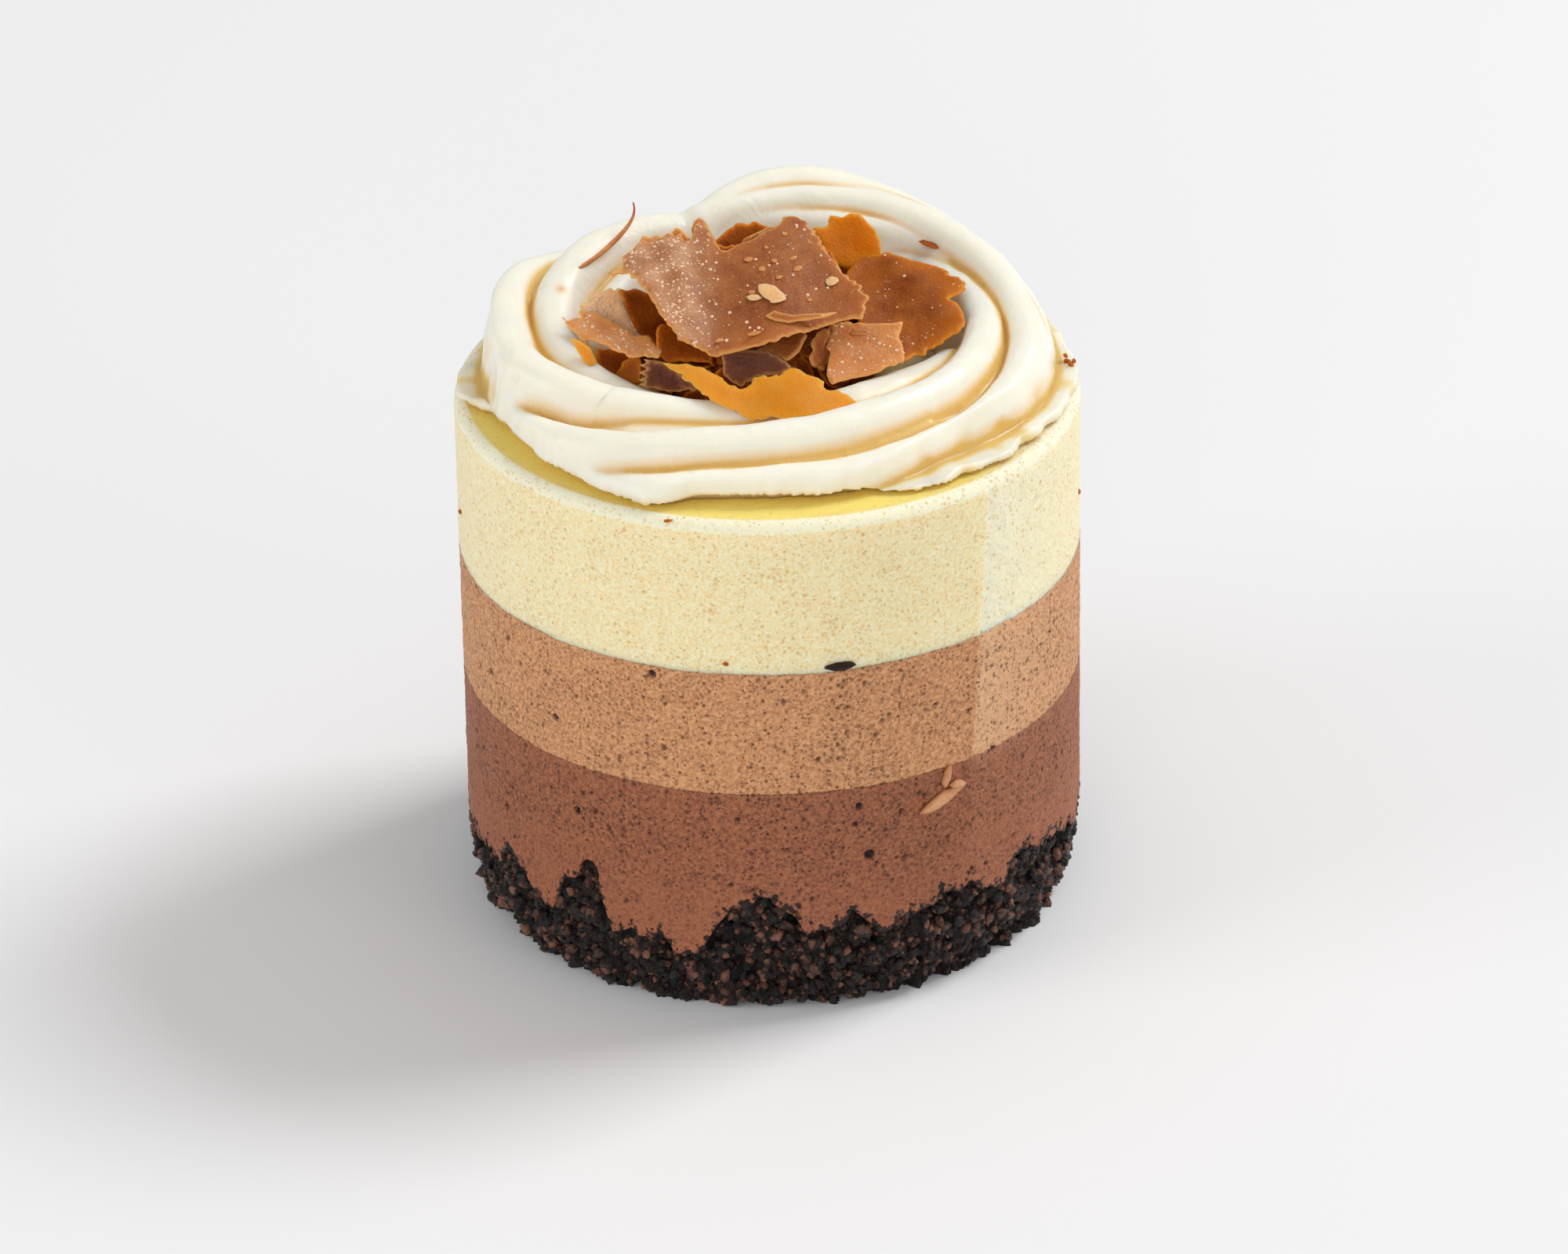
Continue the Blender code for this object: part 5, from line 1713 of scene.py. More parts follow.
@dataclass(frozen=True)
class Shaving:
    """A shaving of chocolate: an outline in its own plane, and how it bends.

    The centre's height is over the mousse.  The plane slopes down towards the
    direction `lean` by the angle `tilt`.
    """

    name: str
    centre: tuple[float, float, float]
    tilt: float
    lean: float
    outline: tuple[tuple[float, float], ...]
    bend_radius: float
    bend_direction: float
    ripple: float = 0.0
    ripple_length: float = 8.0
    ripple_direction: float = 0.0
    kind: Chocolate = Chocolate.MILK
    seed: int = 1
    thickness: float = 0.36
    wear: float = 0.2
    scrape: float = 0.03
    pleats: float = 0.0
    dew: Callable | None = None

    def lift(self, plane: np.ndarray) -> np.ndarray:
        """Height of the bent plate over its own plane, before the fine relief.

        Args:
            plane: Points in the shaving's plane.

        Returns:
            The height at each point.
        """
        bend, wave = math.radians(self.bend_direction), math.radians(self.ripple_direction)
        along = plane[:, 0] * math.cos(bend) + plane[:, 1] * math.sin(bend)
        across = plane[:, 0] * math.cos(wave) + plane[:, 1] * math.sin(wave)
        curve = along**2 / (2.0 * self.bend_radius)
        return curve + self.ripple * np.sin(math.tau * across / self.ripple_length)

    def wrinkled(self, plane: np.ndarray) -> np.ndarray:
        """Height of the plate with its wrinkles and the scrape lines of the blade.

        Args:
            plane: Points in the shaving's plane.

        Returns:
            The height at each point.
        """
        spot = np.column_stack([plane, np.full(len(plane), 17.0 * self.seed)])
        streak = spot * (1.0, 0.14, 1.0)
        fine = 0.16 * GRAIN.layered(spot, 4.0, 2) + 0.05 * GRAIN.smooth(spot, 0.9)
        folded = np.clip((-1.5 - plane[:, 0]) / 4.0, 0.0, 1.0)
        folded = folded * np.sin(1.9 * plane[:, 0] + 0.35 * plane[:, 1])
        return self.lift(plane) + fine + self.scrape * GRAIN.layered(streak, 0.9, 2) + self.pleats * folded

    def turning(self) -> np.ndarray:
        """The rotation from the shaving's plane to the cake's frame."""
        return np.array(Euler((math.radians(self.tilt), 0, math.radians(self.lean + 90))).to_matrix())

    def placed(self, points: np.ndarray, base: float) -> np.ndarray:
        """Moves points from the shaving's plane to where it lies over the mousse."""
        return points @ self.turning().T + np.array(self.centre) + (0.0, 0.0, base)

    def spot(self, u: float, v: float, base: float, over: float = 0.0) -> tuple[float, float, float]:
        """The place of a point of the shaving's upper face, or a little over it.

        Args:
            u: The point's first coordinate in the plane.
            v: Its second.
            base: Height of the mousse's top.
            over: How far over the face.

        Returns:
            The place in the cake's frame.
        """
        plane = np.array([[u, v]])
        height = self.wrinkled(plane) + self.thickness / 2 + over
        return tuple(float(c) for c in self.placed(np.column_stack([plane, height]), base)[0])

    def solid(self, base: float, step: float = 0.17, spacing: float = 0.36) -> tuple:
        """Works out the shaving as a closed plate.

        Args:
            base: Height of the mousse's top.
            step: Distance between points of the outline.
            spacing: Distance between points inside it.

        Returns:
            Its points in place, its triangles, the plane points and their distance to the edge.
        """
        outline = smooth_outline(self.outline, step, self.wear, self.seed)
        points, faces, plane, distance = plate(
            outline, spacing, self.wrinkled,
            lambda d: self.thickness * (0.35 + 0.65 * np.sqrt(np.clip(d / 0.3, 0.0, 1.0))),
        )
        return self.placed(points, base), faces, plane, distance

    def mesh(self, base: float) -> bpy.types.Mesh:
        """The shaving's mesh, painted with its edge's wear and painted glow, the painted glow of thin
        places, and moisture.

        Args:
            base: Height of the mousse's top.

        Returns:
            The mesh.
        """
        points, faces, plane, distance = self.solid(base)
        mesh = plain_mesh(self.name, points, faces)
        spot = np.column_stack([plane, np.full(len(plane), 29.0 * self.seed)])
        uneven = 1.0 + 0.5 * GRAIN.smooth(spot, 1.4)
        # Marks for painted light: the edge's glow, which is partly wear, and the glow of thin places
        rim = np.exp(-((distance / (0.14 * uneven)) ** 2))
        thin = 0.75 * np.exp(-distance / 0.8) + 0.35 * np.clip(GRAIN.layered(spot, 5.0, 2), 0.0, 1.0)
        paint(mesh, EDGE_WEAR_AND_GLOW, np.tile(rim, 2))
        paint(mesh, PAINTED_GLOW, np.tile(np.clip(thin, 0.0, 1.0), 2))
        wet = np.zeros(len(plane)) if self.dew is None else self.dew(plane, distance)
        paint(mesh, DEW, np.concatenate([wet, 0.0 * wet]))
        return mesh


def even_dew(share: float) -> Callable:
    """Moisture all over, in patches, but not at the very edge.

    Args:
        share: How much of the surface is beaded.

    Returns:
        A function from plane points and their distance to the edge to the share beaded.
    """
    def wet(plane: np.ndarray, distance: np.ndarray) -> np.ndarray:
        """The share that is beaded at each point."""
        patch = 0.6 + 0.7 * GRAIN.smooth(np.column_stack([plane, 0 * plane[:, 0]]), 2.2)
        return share * np.clip(patch, 0.05, 1.0) * (distance > 0.25)
    return wet


def left_dew(plane: np.ndarray, distance: np.ndarray) -> np.ndarray:
    """Moisture thick on the left lobe and thin elsewhere.

    Args:
        plane: Points in the shaving's plane.
        distance: Their distance to the edge.

    Returns:
        The share that is beaded at each point.
    """
    left = np.clip((-2.0 - plane[:, 0]) / 3.5, 0.0, 1.0)
    patch = 0.7 + 0.5 * GRAIN.smooth(np.column_stack([plane, 0 * plane[:, 0]]), 2.2)
    return np.clip(0.05 + 0.55 * left, 0.0, 1.0) * np.clip(patch, 0.1, 1.0) * (distance > 0.25)


SHAVINGS = (
    Shaving(
        "shaving_top", (-1.9, -1.0, 10.6), 20, -88,
        (
            (-11.5, 4.8), (-11.3, 3.7), (-12, 3.1), (-12.6, 2.4), (-11.8, 2.5), (-10.9, 2.6),
            (-10.4, 1.6), (-9.8, 0.1), (-9.2, -1.1), (-8.7, -2.6), (-8.3, -3.7), (-7.3, -5),
            (-6.4, -6.3), (-5.4, -7), (-4.4, -7.5), (-3.1, -7.9), (-2.1, -7.9), (-0.4, -7.6),
            (2, -7.3), (3.5, -6.8), (5.2, -6), (6.8, -5.2), (8.7, -4.5), (10.1, -4.3), (10.8, -4.7),
            (11.1, -3.9), (11.3, -1.8), (11, -0.9), (10.4, 0.2), (9.8, 1.1), (9.3, 1.5), (8.9, 2.6),
            (8.1, 4.1), (7.8, 5.4), (7.2, 6.7), (6.9, 8), (6.3, 9.1), (5.4, 10), (4.5, 10.2),
            (3.8, 9.3), (3.4, 8.4), (2.5, 7.8), (1.7, 7), (1, 6.3), (-0.5, 5.9), (-1.5, 5.2),
            (-2.1, 5.5), (-2.6, 7.1), (-3, 8.7), (-3.4, 10), (-4, 10.3), (-4.4, 9.1), (-4.6, 7.8),
            (-5, 6.6), (-5.5, 7), (-5.8, 8), (-6.5, 7.1), (-7, 7.5), (-7.6, 6.8), (-8.4, 7),
            (-9, 6.3), (-9.4, 6.9), (-10.1, 5.7), (-10.5, 5.2),
        ),
        -45, 90, ripple=0.35, ripple_length=11, seed=1, dew=left_dew, scrape=0.05, pleats=0.22,
    ),
    Shaving(
        "shaving_right", (14.0, 3.95, 6.35), 14, -95,
        (
            (-5.3, -2.7), (-6.6, 3.6), (-5.3, 7), (-4.1, 6.4), (-3.2, 6.8), (-2.4, 6.6),
            (-1.1, 6.1), (0.2, 5.5), (1.5, 5.2), (2.6, 4.7), (3.6, 3.7), (4.5, 2.8), (5.1, 1.8),
            (4.6, 1.1), (4, 0.5), (3.5, -0.1), (4.2, -0.4), (4.6, -1.2), (5, -2.2), (5.2, -3.5),
            (5, -4.6), (4.3, -5.2), (3.8, -5.7), (2.8, -6.5), (1.8, -7.3), (0.6, -8.4),
            (-0.2, -9.2), (-1.3, -10), (-3.6, -8.6),
        ),
        45, 20, ripple=0.25, ripple_direction=30, kind=Chocolate.RUST, seed=2, dew=even_dew(0.07),
    ),
    Shaving(
        "shaving_back", (8.3, 12.0, 9.15), 42, -80,
        (
            (-3.6, 1.4), (-2.1, 1.7), (-1.7, 2.6), (-1.2, 2.6), (-0.5, 2.3), (0.3, 2.6), (1.2, 2.4),
            (1.7, 1.6), (2.4, 0.7), (2.7, -0.4), (2.7, -1.4), (2.1, -2.2), (1.3, -2.6),
            (-0.5, -3.3), (-2.3, -2.3), (-3.1, -0.1),
        ),
        14, 10, kind=Chocolate.HONEY, seed=3,
    ),
    Shaving(
        "shaving_middle", (9.0, -5.15, 5.65), 24, -90,
        (
            (-2.9, 3.2), (-1.2, 3.3), (1.2, 3.1), (3.1, 3.1), (4, 3.3), (3.8, 2.4), (3.5, 1.4),
            (3.9, 0.4), (4, -1.2), (2.8, -1.9), (1.5, -2.8), (0.3, -3.3), (-1.1, -3.6), (-2.2, -4),
            (-2.9, -4.5), (-3.2, -4), (-3.4, -3.2), (-3.2, -2), (-3, -0.2), (-3.4, 0.2),
            (-3.2, 1.1), (-2.9, 2.4),
        ),
        40, 60, ripple=0.15, ripple_length=6, kind=Chocolate.TAN, seed=4, dew=even_dew(0.25),
    ),
    Shaving(
        "shaving_front", (0.5, -13.35, 5.3), 20, -90,
        (
            (-10.4, 5.3), (-8.9, 4.3), (-8.1, 4.3), (-7.3, 3.8), (-6.5, 3.8), (-5.7, 3.1),
            (-4.9, 2.5), (-4.2, 1.6), (-3.1, 1.1), (-2.6, 1.5), (-2.1, 1.8), (-1.6, 2.6),
            (-0.6, 2.5), (0.6, 2), (1, 2.8), (1.8, 3.3), (2.6, 3), (3.2, 2.3), (4.2, 2.1), (5, 1.8),
            (5.2, 0.9), (6.2, 0.4), (7, 0), (7.6, -0.7), (8.3, -1.1), (7, -1.5), (6.6, -2.3),
            (5.2, -2.5), (3.8, -3.1), (1.7, -3.3), (0.1, -2.8), (-1.7, -2.7), (-2.7, -2.4),
            (-3.7, -1.9), (-4.7, -1.5), (-5.7, -0.9), (-6.7, 0.1), (-7.7, 1.3), (-8.7, 2.7),
            (-9.7, 4.1),
        ),
        -16, 90, ripple=0.35, ripple_length=9, ripple_direction=10, kind=Chocolate.AMBER,
        seed=5, thickness=0.3,
    ),
    # The curled shaving wears the pale, lit copy of the chocolate: painted light
    Shaving(
        "shaving_curled", (-13.5, 0.9, 6.6), 34, -100,
        (
            (-1.5, 3.2), (-2.3, 2.8), (-3, 2.4), (-3.7, 1.7), (-3.4, 1.2), (-4.2, 0.8), (-4.2, 0.3),
            (-2, -2), (0.9, -3.8), (4.2, -4.3), (3.7, -3.2), (1.5, -1.5), (0.8, -0.6), (0.4, 0.3),
            (-0.1, 1.2), (-0.6, 2.1), (-0.6, 2.9), (-1, 3.2),
        ),
        12, 20, kind=Chocolate.PALE, seed=6, dew=even_dew(1.0),
    ),
    Shaving(
        "shaving_leaf", (-15.0, -2.5, 6.2), 30, -110,
        (
            (-5, 1.3), (-4.2, 1.2), (-3.4, 1.6), (-3, 1.5), (-3.6, 2.3), (-2.8, 2.3), (-2, 2.5),
            (-1.4, 2.2), (-0.3, 1.9), (0.9, 1.3), (2.1, 0.8), (3.9, 0.6), (4.6, 0.2), (5.4, -0.6),
            (5.5, -1.4), (4.6, -1.7), (3.4, -2), (2.5, -1.9), (1.1, -1.5), (-0.5, -0.8),
            (-1.5, -0.5), (-2.3, -0.8), (-2.9, -0.2), (-3.7, 0.3), (-4.3, 0.8),
        ),
        16, 90, ripple=0.15, ripple_length=6, kind=Chocolate.TAN, seed=7, dew=even_dew(0.45),
    ),
    Shaving(
        "shaving_small", (-17.2, -4.25, 5.75), 38, -60,
        ((-0.9, 1.6), (0.0, 0.9), (0.6, 0.0), (0.7, -1.7), (-0.2, -1.7), (-0.5, -1.0), (-0.7, 0.6)),
        20, 0, kind=Chocolate.AMBER, seed=8, thickness=0.35, wear=0.06,
    ),
    Shaving(
        "shaving_layered", (-9.1, -6.7, 4.2), 62, -92,
        (
            (-2.6, 1.5), (-1.3, 1.3), (-0.7, 1.2), (0.8, 0.3), (1.8, -0.5), (2.7, -1.3),
            (2.2, -1.6), (0.8, -1.5), (-0.2, -1.6), (-1.3, -1.3), (-2.1, -1.2), (-2.9, -1),
            (-2.3, -0.7), (-3, -0.5), (-2.2, -0.2), (-3.1, 0.2), (-2.1, 0.5), (-3, 0.9),
            (-2.2, 1.1),
        ),
        12, 0, seed=9, scrape=0.2, kind=Chocolate.COCOA, thickness=0.5, wear=0.1,
    ),
)

SHAVING_SLOTS = {Chocolate.AMBER: "thin_chocolate", Chocolate.HONEY: "thin_chocolate"}

# Plates of chocolate that show between the large shavings, laid on the heap; the dark ones,
# in the shaded copy of milk chocolate, are painted shade between them
HEAP_PLATES = (
    Shaving(
        "plate", (7.8, 11.2, 6.2), 40, -80,
        ((-2.8, 0.6), (-1.4, 2.4), (1.2, 2.0), (2.8, 0.2), (1.6, -2.0), (-1.8, -2.2)),
        9, 30, seed=49, kind=Chocolate.RUST,
    ),
    Shaving(
        "plate", (-4.6, 2.6, 9.9), 34, -60,
        ((-4.2, 1.0), (-2.6, 3.2), (0.4, 3.6), (3.6, 2.0), (4.0, -1.2), (1.2, -3.0), (-2.8, -2.4)),
        12, 20, seed=45, kind=Chocolate.DEEP,
    ),
    Shaving(
        "plate", (1.6, 4.8, 10.8), 40, -120,
        ((-4.4, 0.4), (-2.0, 2.8), (1.6, 2.6), (4.4, 0.8), (3.0, -2.2), (-0.6, -3.2), (-3.4, -2.0)),
        14, -30, seed=46, kind=Chocolate.MILK,
    ),
    Shaving(
        "plate", (4.6, 0.6, 9.2), 30, -30,
        ((-3.6, 1.6), (-0.4, 3.0), (3.2, 1.4), (3.8, -1.0), (0.4, -2.8), (-3.0, -1.6)),
        10, 60, seed=47, kind=Chocolate.RUST,
    ),
    Shaving(
        "plate", (-1.4, 7.2, 10.6), 56, -88,
        ((-3.8, 0.2), (-2.0, 2.0), (1.0, 2.4), (3.8, 0.6), (2.2, -2.2), (-1.6, -2.6)),
        9, 10, seed=48, kind=Chocolate.DEEP,
    ),
    Shaving(
        "plate", (-11.1, 1.6, 6.2), 40, -70,
        (
            (-2.1, 3.3), (-0.4, 3.2), (1, 2.2), (2.4, 0.5), (2.6, -3.5), (0.7, -3.7), (-0.2, -2.6),
            (-1.7, -1.3), (-2.1, 1.2),
        ),
        18, 0, seed=31, thickness=0.36, wear=0.12, kind=Chocolate.DEEP,
    ),
    Shaving(
        "plate", (-3.9, -3.9, 5.2), 50, -88,
        (
            (-6.4, 2.6), (-1.8, 2), (4.5, 2.2), (7.8, 1), (6.4, -0.3), (4.8, -1.3), (2.5, -1.8),
            (0.3, -1.5), (-1.9, -1.1), (-4.1, -0.9), (-5.8, -1), (-6.5, 0.1),
        ),
        25, 0, seed=32, thickness=0.36, wear=0.12, kind=Chocolate.DEEP,
    ),
    Shaving(
        "plate", (1.7, -5.3, 6), 35, -110,
        (
            (1.8, 1.8), (1.8, 0.6), (1.4, -0.4), (0.7, -1.3), (-0.3, -1), (-1.4, -0.7),
            (-2.7, -0.7), (-1.3, 0.8), (0.1, 1.8),
        ),
        12, 30, seed=33, thickness=0.4, wear=0.12, kind=Chocolate.MILK,
    ),
    Shaving(
        "plate", (5.1, -4.8, 5.6), 62, -60,
        (
            (0.4, 1.9), (1.4, 1.6), (1, 0.5), (0.5, 0), (0.9, -0.5), (0.4, -1.2), (-0.1, -1.9),
            (-0.7, -1.8), (-1.4, -1.2), (-1.4, -0.4), (-0.7, 0.2), (-0.9, 0.8), (-0.1, 1.3),
        ),
        6, 0, seed=34, thickness=0.6, wear=0.12, kind=Chocolate.MILK,
    ),
    Shaving(
        "plate", (-1.3, -6.5, 4.6), 66, -95,
        (
            (-2.9, 1.6), (-0.8, 1.8), (1.5, 1.6), (3, 0.8), (3.7, 0.2), (2.5, -0.5), (0.5, -0.7),
            (-0.1, -1.3), (-1.1, -1.7), (-1.8, -1.5), (-2.8, -0.6),
        ),
        20, 0, seed=35, thickness=0.36, wear=0.12, kind=Chocolate.COCOA,
    ),
    Shaving(
        "plate", (-14, -2.4, 3), 66, -80,
        (
            (-2.1, 1.9), (0.1, 1.6), (1.9, 0.6), (2.4, -0.4), (1.7, -2), (0.3, -1.3), (-0.9, -0.4),
            (-2.1, 0.4),
        ),
        20, 0, seed=36, thickness=0.36, wear=0.12, kind=Chocolate.DEEP,
    ),
    Shaving(
        "plate", (-12.8, -4.3, 3.6), 58, -120,
        (
            (-1.1, 0.5), (-0.4, 1.2), (0.7, 1.2), (1.1, 0.1), (1.2, -1.1), (-0.2, -1.1),
            (-1.5, -0.8),
        ),
        12, 0, seed=37, thickness=0.36, wear=0.12, kind=Chocolate.RUST,
    ),
    Shaving(
        "plate", (-5.6, 8.2, 11.5), 62, -75,
        (
            (-0.9, 1.6), (-0.4, 1.9), (0.1, 1.5), (0.5, 0.5), (1, -0.7), (1.4, -1.6), (0.2, -1.6),
            (-0.7, -1.1), (-1.2, -0.1), (-1.4, 0.8),
        ),
        4, 10, seed=38, thickness=0.3, wear=0.12, kind=Chocolate.MILK,
    ),
    Shaving(
        "plate", (-8.1, 6.7, 12.0), 45, -110,
        (
            (-1.4, 0.1), (-0.9, 0.4), (-0.6, 1), (0, 0.9), (0.8, 0.3), (1.5, -0.4), (0.5, -0.9),
            (-0.7, -0.6),
        ),
        4, 40, seed=39, thickness=0.3, wear=0.12, kind=Chocolate.TAN,
    ),
    Shaving(
        "plate", (-10.1, 6.2, 12.0), 30, -100,
        (
            (-1.8, -0.4), (-1.6, 0.5), (-0.8, 0.3), (-0.3, 0.7), (0.5, 0.5), (1.2, 0.9), (1.7, 0.1),
            (1, -0.6), (-0.3, -0.6), (-1.1, -1),
        ),
        8, 20, seed=40, thickness=0.3, wear=0.12, kind=Chocolate.TAN,
    ),
    Shaving(
        "plate", (4.8, 8.4, 8.2), 50, -100,
        (
            (-2.2, 1.4), (0.6, 1.9), (2.4, 0.2), (1.2, -1.7), (-1.6, -1.4),
        ),
        12, 0, seed=42, thickness=0.4, wear=0.12, kind=Chocolate.DEEP,
    ),
)


# Crumbs of chocolate lying on the top shaving: place in its plane, length and width
CRUMB_PLACES = (
    (0.6, -1.2, 0.7, 0.5), (5.1, 1.7, 1.0, 0.6), (4.7, 3.1, 0.8, 0.5), (1.7, 1.6, 0.7, 0.6),
    (3.2, 0.4, 0.7, 0.5), (0.5, 3.3, 0.9, 0.7), (-2.7, -6.4, 1.2, 0.5), (0.6, -6.3, 1.4, 0.5),
    (2.9, 2.6, 0.6, 0.5), (4.1, 6.6, 0.6, 0.4), (6.0, -2.2, 0.5, 0.4), (2.2, 4.6, 0.5, 0.4),
)

# Chips and a peeled lip on the top shaving: name, outline in its plane, height over it, kind
LAID_ON_TOP = (
    ("large_chip", (
        (1.2, -0.7), (1.9, -0.6), (2.7, -0.9), (3.1, -1.4), (3.6, -2.1), (3.8, -2.7), (3.2, -3.0),
        (2.4, -3.2), (2.2, -2.7), (1.6, -2.2), (1.2, -1.4),
    ), 0.22, Chocolate.PALE),
    ("left_chip", ((0.0, -1.9), (0.6, -1.6), (1.1, -1.8), (1.6, -2.2), (1.0, -2.5), (0.4, -2.4)), 0.2,
     Chocolate.PALE),
    ("right_chip", ((7.6, 0.4), (8.2, 0.9), (8.8, 0.5), (8.9, 0.1), (8.4, -0.4), (7.8, -0.3)), 0.2,
     Chocolate.PALE),
    ("shaving_top_flap", (
        (1.7, -4.5), (2.6, -3.9), (3.2, -4.2), (4.6, -4.6), (6.3, -4.5), (8.6, -4.5), (7.4, -5.0),
        (5.6, -5.3), (3.9, -5.5), (2.7, -5.2), (2.1, -4.9),
    ), 0.3, Chocolate.MILK),
)


@dataclass
class ShavingHeap:
    """The heap of shavings inside the ring of cream: core, shards, large shavings and moisture."""

    radii: tuple[float, float] = (10.8, 9.4)
    centre: tuple[float, float] = (-0.4, 2.2)
    height: float = 8.9
    slope: float = 0.22
    sections: int = 96
    rings: int = 30
    shards_per_square_metre: float = 0.55e6
    beads_per_square_metre: float = 14.0e6
    shard_seed: int = 5

    def __post_init__(self) -> None:
        """Reads the mousse's top, which the heap lies on."""
        self.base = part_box("white_mousse")[1].z / MM

    def build_core(self) -> bpy.types.Mesh:
        """Builds the mound of packed fine shavings that the shards lie on.

        Returns:
            The mound's mesh, painted with the share that carries shards.
        """
        turn = np.linspace(0.0, math.tau, self.sections, endpoint=False)
        share = np.linspace(1.0, 0.03, self.rings)[:, None]
        x = self.centre[0] + self.radii[0] * share * np.cos(turn)
        y = self.centre[1] + self.radii[1] * share * np.sin(turn)
        z = self.height * (1.0 - 0.65 * share**2.2) + self.slope * (y - self.centre[1])
        spot = np.stack([x, y, z], axis=-1)
        z = z + 0.9 * (GRAIN.lumps(spot, 2.2) - 0.5) + 0.3 * GRAIN.lumps(spot + 9.0, 0.9)
        mound = np.stack([x, y, self.base + np.maximum(z, 0.6)], axis=-1)
        foot = mound[0].copy()
        foot[:, 2] = self.base
        mesh = plain_mesh("heap_core", *turned(np.concatenate([foot[None], mound])))
        bare = np.zeros((1, self.sections))
        sown = np.broadcast_to(np.where(share > 0.25, 1.0, 0.3), z.shape)
        paint(mesh, SOWN, ring_values(np.concatenate([bare, sown])))
        # The core wears the shaded copy of milk chocolate: painted shade inside the heap
        hand_over(show("heap_core", mesh, Chocolate.DEEP.value), "chocolate", "shaving_heap")
        return mesh

    def strew_shards(self, core: bpy.types.Mesh) -> None:
        """Strews shards of a few shapes over the core.

        Args:
            core: The mound's mesh, painted with the share that carries shards.
        """
        kinds = bpy.data.collections.new("shard_shapes")
        draw = np.random.default_rng(self.shard_seed)
        for i in range(5):
            length, width = draw.uniform(2.6, 4.4), draw.uniform(1.2, 2.2)
            flake = Flake((0, 0, 0), (length, width), (0, 0, 0), seed=60 + i, thickness=0.35)
            points, faces, edge = flake.solid()
            points[:, 2] += points[:, 0] ** 2 / draw.uniform(8.0, 20.0)
            mesh = plain_mesh(f"shard_{i}", points, faces)
            paint(mesh, EDGE_WEAR_AND_GLOW, 0.7 * edge)
            kinds.objects.link(bpy.data.objects.new(mesh.name, mesh))
        shards = grown("heap_shards", shard_tree(), core.copy(), {
            "Density": self.shards_per_square_metre, "Smallest": 0.6, "Largest": 1.1, "Seed": 8,
            "Tilt": math.radians(50.0), "Shards": kinds, "Finish": Chocolate.DEEP.value.material(),
        })
        for shape in list(kinds.objects):
            bpy.data.objects.remove(shape)
        bpy.data.collections.remove(kinds)
        hand_over(show("heap_shards", shards), "chocolate")

    def build_plates(self) -> None:
        """Lays the plates that show between the large shavings."""
        for number, part in enumerate(HEAP_PLATES):
            mesh = part.mesh(self.base)
            hand_over(show(f"heap_plate_{number}", mesh, part.kind.value), "chocolate")

    def build_shavings(self) -> None:
        """Builds the large shavings and beads them with moisture."""
        beads = bead_tree()
        water = BeadedMoisture("beaded_moisture").material()
        for part in SHAVINGS:
            mesh = part.mesh(self.base)
            slot = SHAVING_SLOTS.get(part.kind, "chocolate")
            hand_over(show(part.name + "_plate", mesh, part.kind.value), slot, part.name)
            if part.dew:
                drops = grown(part.name + "_beads", beads, mesh.copy(), {
                    "Density": self.beads_per_square_metre, "Smallest": 0.05 * MM,
                    "Largest": 0.2 * MM, "Seed": part.seed, "Finish": water,
                })
                hand_over(show(part.name + "_beads", drops), slot)

    def build_chips(self) -> None:
        """Lays the pale chips and the small flap on the top shaving."""
        top, middle = SHAVINGS[0], SHAVINGS[3]
        chips = []
        for i, (u, v, length, width) in enumerate(CRUMB_PLACES):
            spin = top.lean + 90 + 37.0 * i % 60
            turn = (top.tilt + 4.0 * math.sin(7.0 * i), 5.0 * math.cos(5.0 * i), spin)
            spot = top.spot(u, v, self.base, 0.08)
            chips.append(Flake(spot, (length, width), turn, seed=80 + i, thickness=0.3))
        beside = middle.spot(-0.1, 2.1, self.base, 0.05)
        chips.append(Flake(beside, (1.9, 0.8), (24, 0, 0), seed=95, thickness=0.3))
        hand_over(Flake.joined("pale_chips", chips, Chocolate.TAN), "thin_chocolate")
        for name, outline, over, kind in LAID_ON_TOP:
            middle_spot = np.array(outline).mean(axis=0)
            place = np.array(top.spot(*middle_spot, self.base)) - (0.0, 0.0, self.base - over)
            own = tuple((u - middle_spot[0], v - middle_spot[1]) for u, v in outline)
            part = Shaving(
                name, tuple(place), top.tilt, top.lean, own, 14, 80,
                seed=41, thickness=0.2, wear=0.03, kind=kind,
            )
            hand_over(show(name, part.mesh(self.base), kind.value), "thin_chocolate")

    def build(self) -> None:
        """Builds the whole heap from its core outwards."""
        core = self.build_core()
        self.strew_shards(core)
        self.build_plates()
        self.build_shavings()
        self.build_chips()


# The studio


@dataclass(frozen=True)
class SoftLight:
    """A square soft light: direction it comes from, distance, side and power."""

    name: str
    azimuth: float
    elevation: float
    distance: float
    side: float
    power: float
    colour: str = "#FFFFFF"

    def build(self, target: Vector) -> None:
        """Hangs the light so that it faces the cake.

        Args:
            target: The point it faces, in metres.
        """
        turn, rise = math.radians(self.azimuth), math.radians(self.elevation)
        away = Vector((math.cos(turn) * math.cos(rise), math.sin(turn) * math.cos(rise), math.sin(rise)))
        lamp = bpy.data.lights.new(self.name, "AREA")
        lamp.size = self.side
        lamp.energy = self.power
        lamp.color = linear(self.colour)[:3]
        light = bpy.data.objects.new(self.name, lamp)
        bpy.context.scene.collection.objects.link(light)
        light.location = target + away * self.distance
        light.rotation_euler = (-away).to_track_quat("-Z", "Y").to_euler()


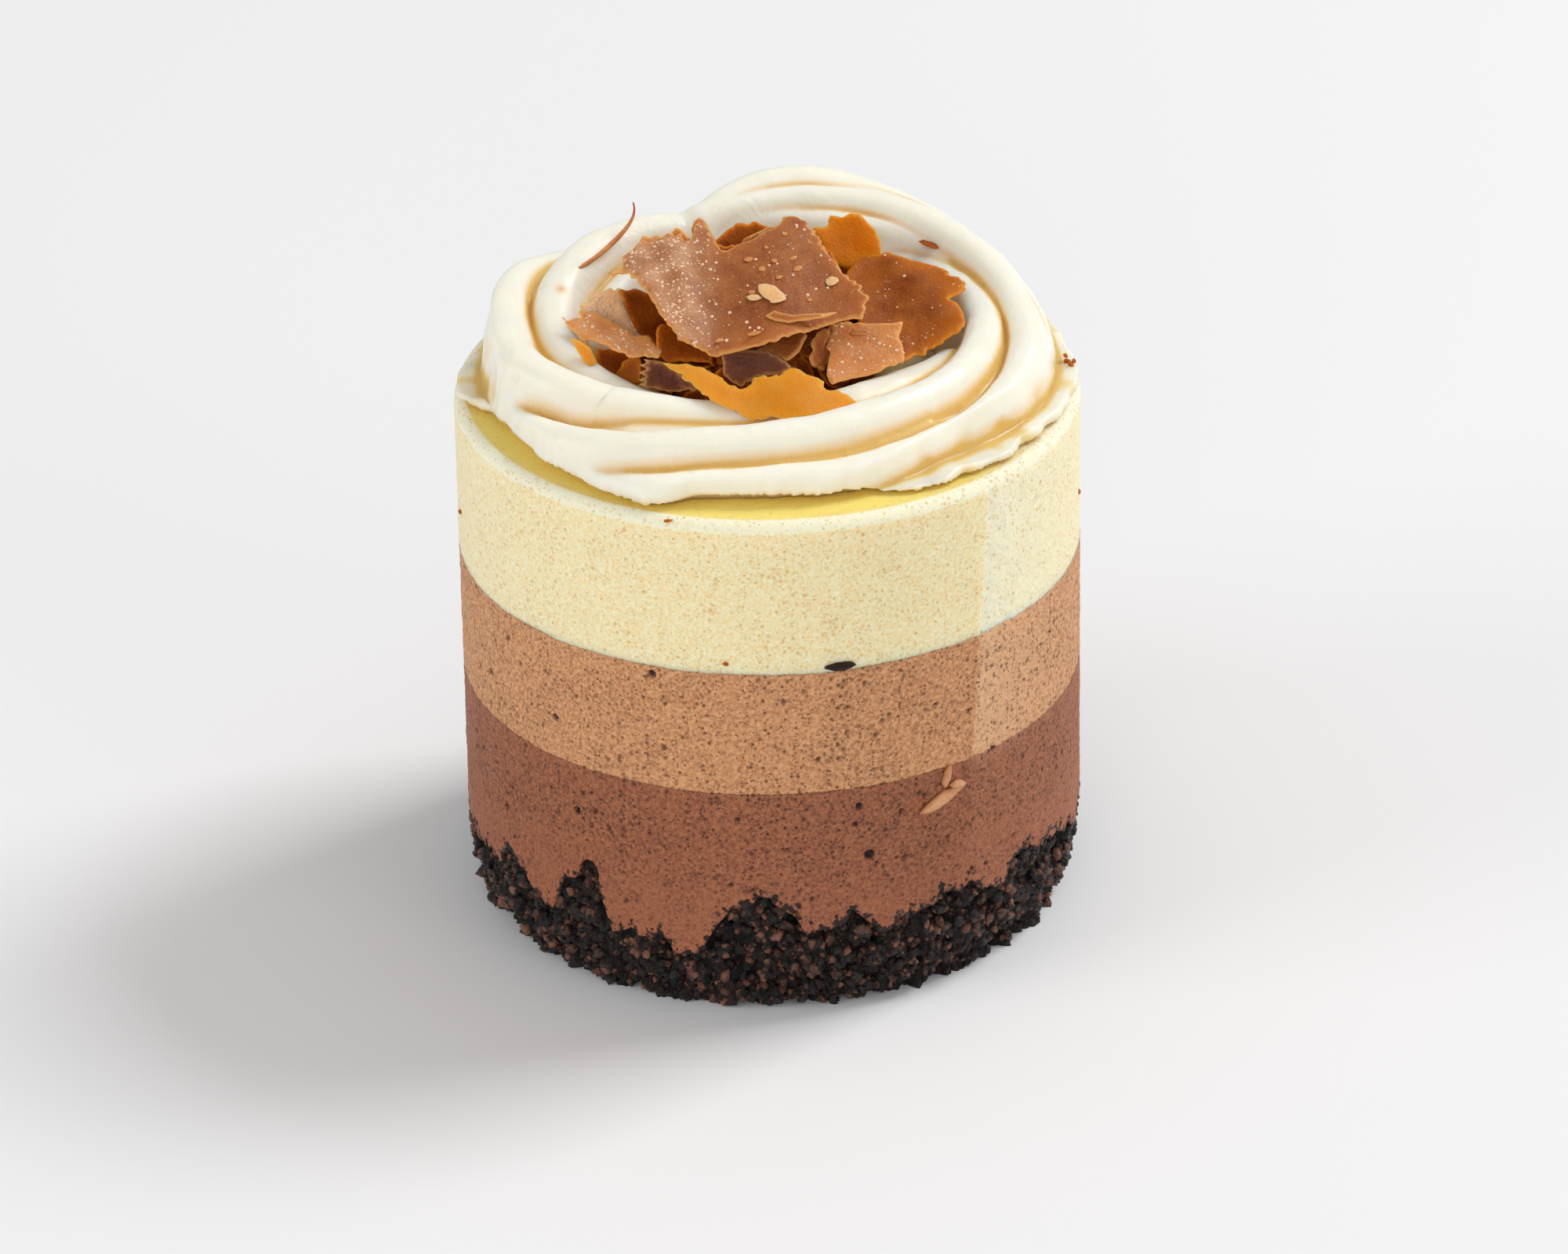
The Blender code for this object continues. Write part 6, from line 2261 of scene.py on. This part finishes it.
@dataclass
class Studio:
    """A pale seamless floor, soft light from the right and behind, and the photo's camera."""

    floor_side: float = 6.0
    lens: float = 185.84
    sensor_width: float = 36.0
    place: tuple[float, float, float] = (0.0, -0.69149, 0.39557)
    pitch: float = 28.129
    yaw: float = 0.102
    roll: float = -0.959
    sky: str = "#FFFFFF"
    sky_strength: float = 0.44
    lights: tuple[SoftLight, ...] = (
        SoftLight("key_light", 26.0, 48.0, 1.6, 0.56, 15.2),
        SoftLight("left_fill", 200.0, 24.0, 1.0, 0.50, 2.4),
        SoftLight("front_fill", 262.0, 15.0, 1.2, 0.60, 2.2),
        SoftLight("right_fill", 318.0, 24.0, 1.2, 0.50, 1.1),
    )

    def build(self) -> None:
        """Lays the floor, hangs the lights and sets up the camera."""
        half = self.floor_side / 2 / MM
        corners = np.array([(-half, -half, 0.0), (half, -half, 0.0), (half, half, 0.0), (-half, half, 0.0)])
        floor = show("studio_floor", plain_mesh("studio_floor", corners, np.array([[0, 1, 2, 3]])),
                     StudioPaper("seamless_paper"))
        world = bpy.data.worlds.new("studio_sky")
        world.use_nodes = True
        background = world.node_tree.nodes["Background"]
        background.inputs["Color"].default_value = linear(self.sky)
        background.inputs["Strength"].default_value = self.sky_strength
        bpy.context.scene.world = world
        for light in self.lights:
            light.build(Vector((0.0, 0.0, 0.03)))
        bpy.context.scene.view_settings.view_transform = "Standard"
        self.build_camera()

    def build_camera(self) -> None:
        """Sets the camera where the photograph was taken from."""
        pitch, yaw, roll = (math.radians(a) for a in (self.pitch, self.yaw, self.roll))
        reach = math.cos(pitch)
        forward = Vector((math.sin(yaw) * reach, math.cos(yaw) * reach, -math.sin(pitch)))
        level = Vector((math.cos(yaw), -math.sin(yaw), 0.0))
        upright = level.cross(forward)
        right = math.cos(roll) * level + math.sin(roll) * upright
        up = -math.sin(roll) * level + math.cos(roll) * upright
        turn = Matrix((right, up, -forward)).transposed().to_4x4()
        lens = bpy.data.cameras.new("photo_camera")
        lens.sensor_fit = "HORIZONTAL"
        lens.sensor_width = self.sensor_width
        lens.lens = self.lens
        camera = bpy.data.objects.new("photo_camera", lens)
        camera.matrix_world = Matrix.Translation(self.place) @ turn
        bpy.context.scene.collection.objects.link(camera)
        bpy.context.scene.camera = camera


def main() -> None:
    """Dresses the cake from its base up, in its studio."""
    logging.basicConfig(level=logging.INFO, format="%(message)s")
    for assembly in (Studio(), SpongeBase(), MousseLayers(), CreamRing(), ShavingHeap()):
        LOG.info("building %s", type(assembly).__name__)
        assembly.build()


if __name__ == "__main__":
    main()
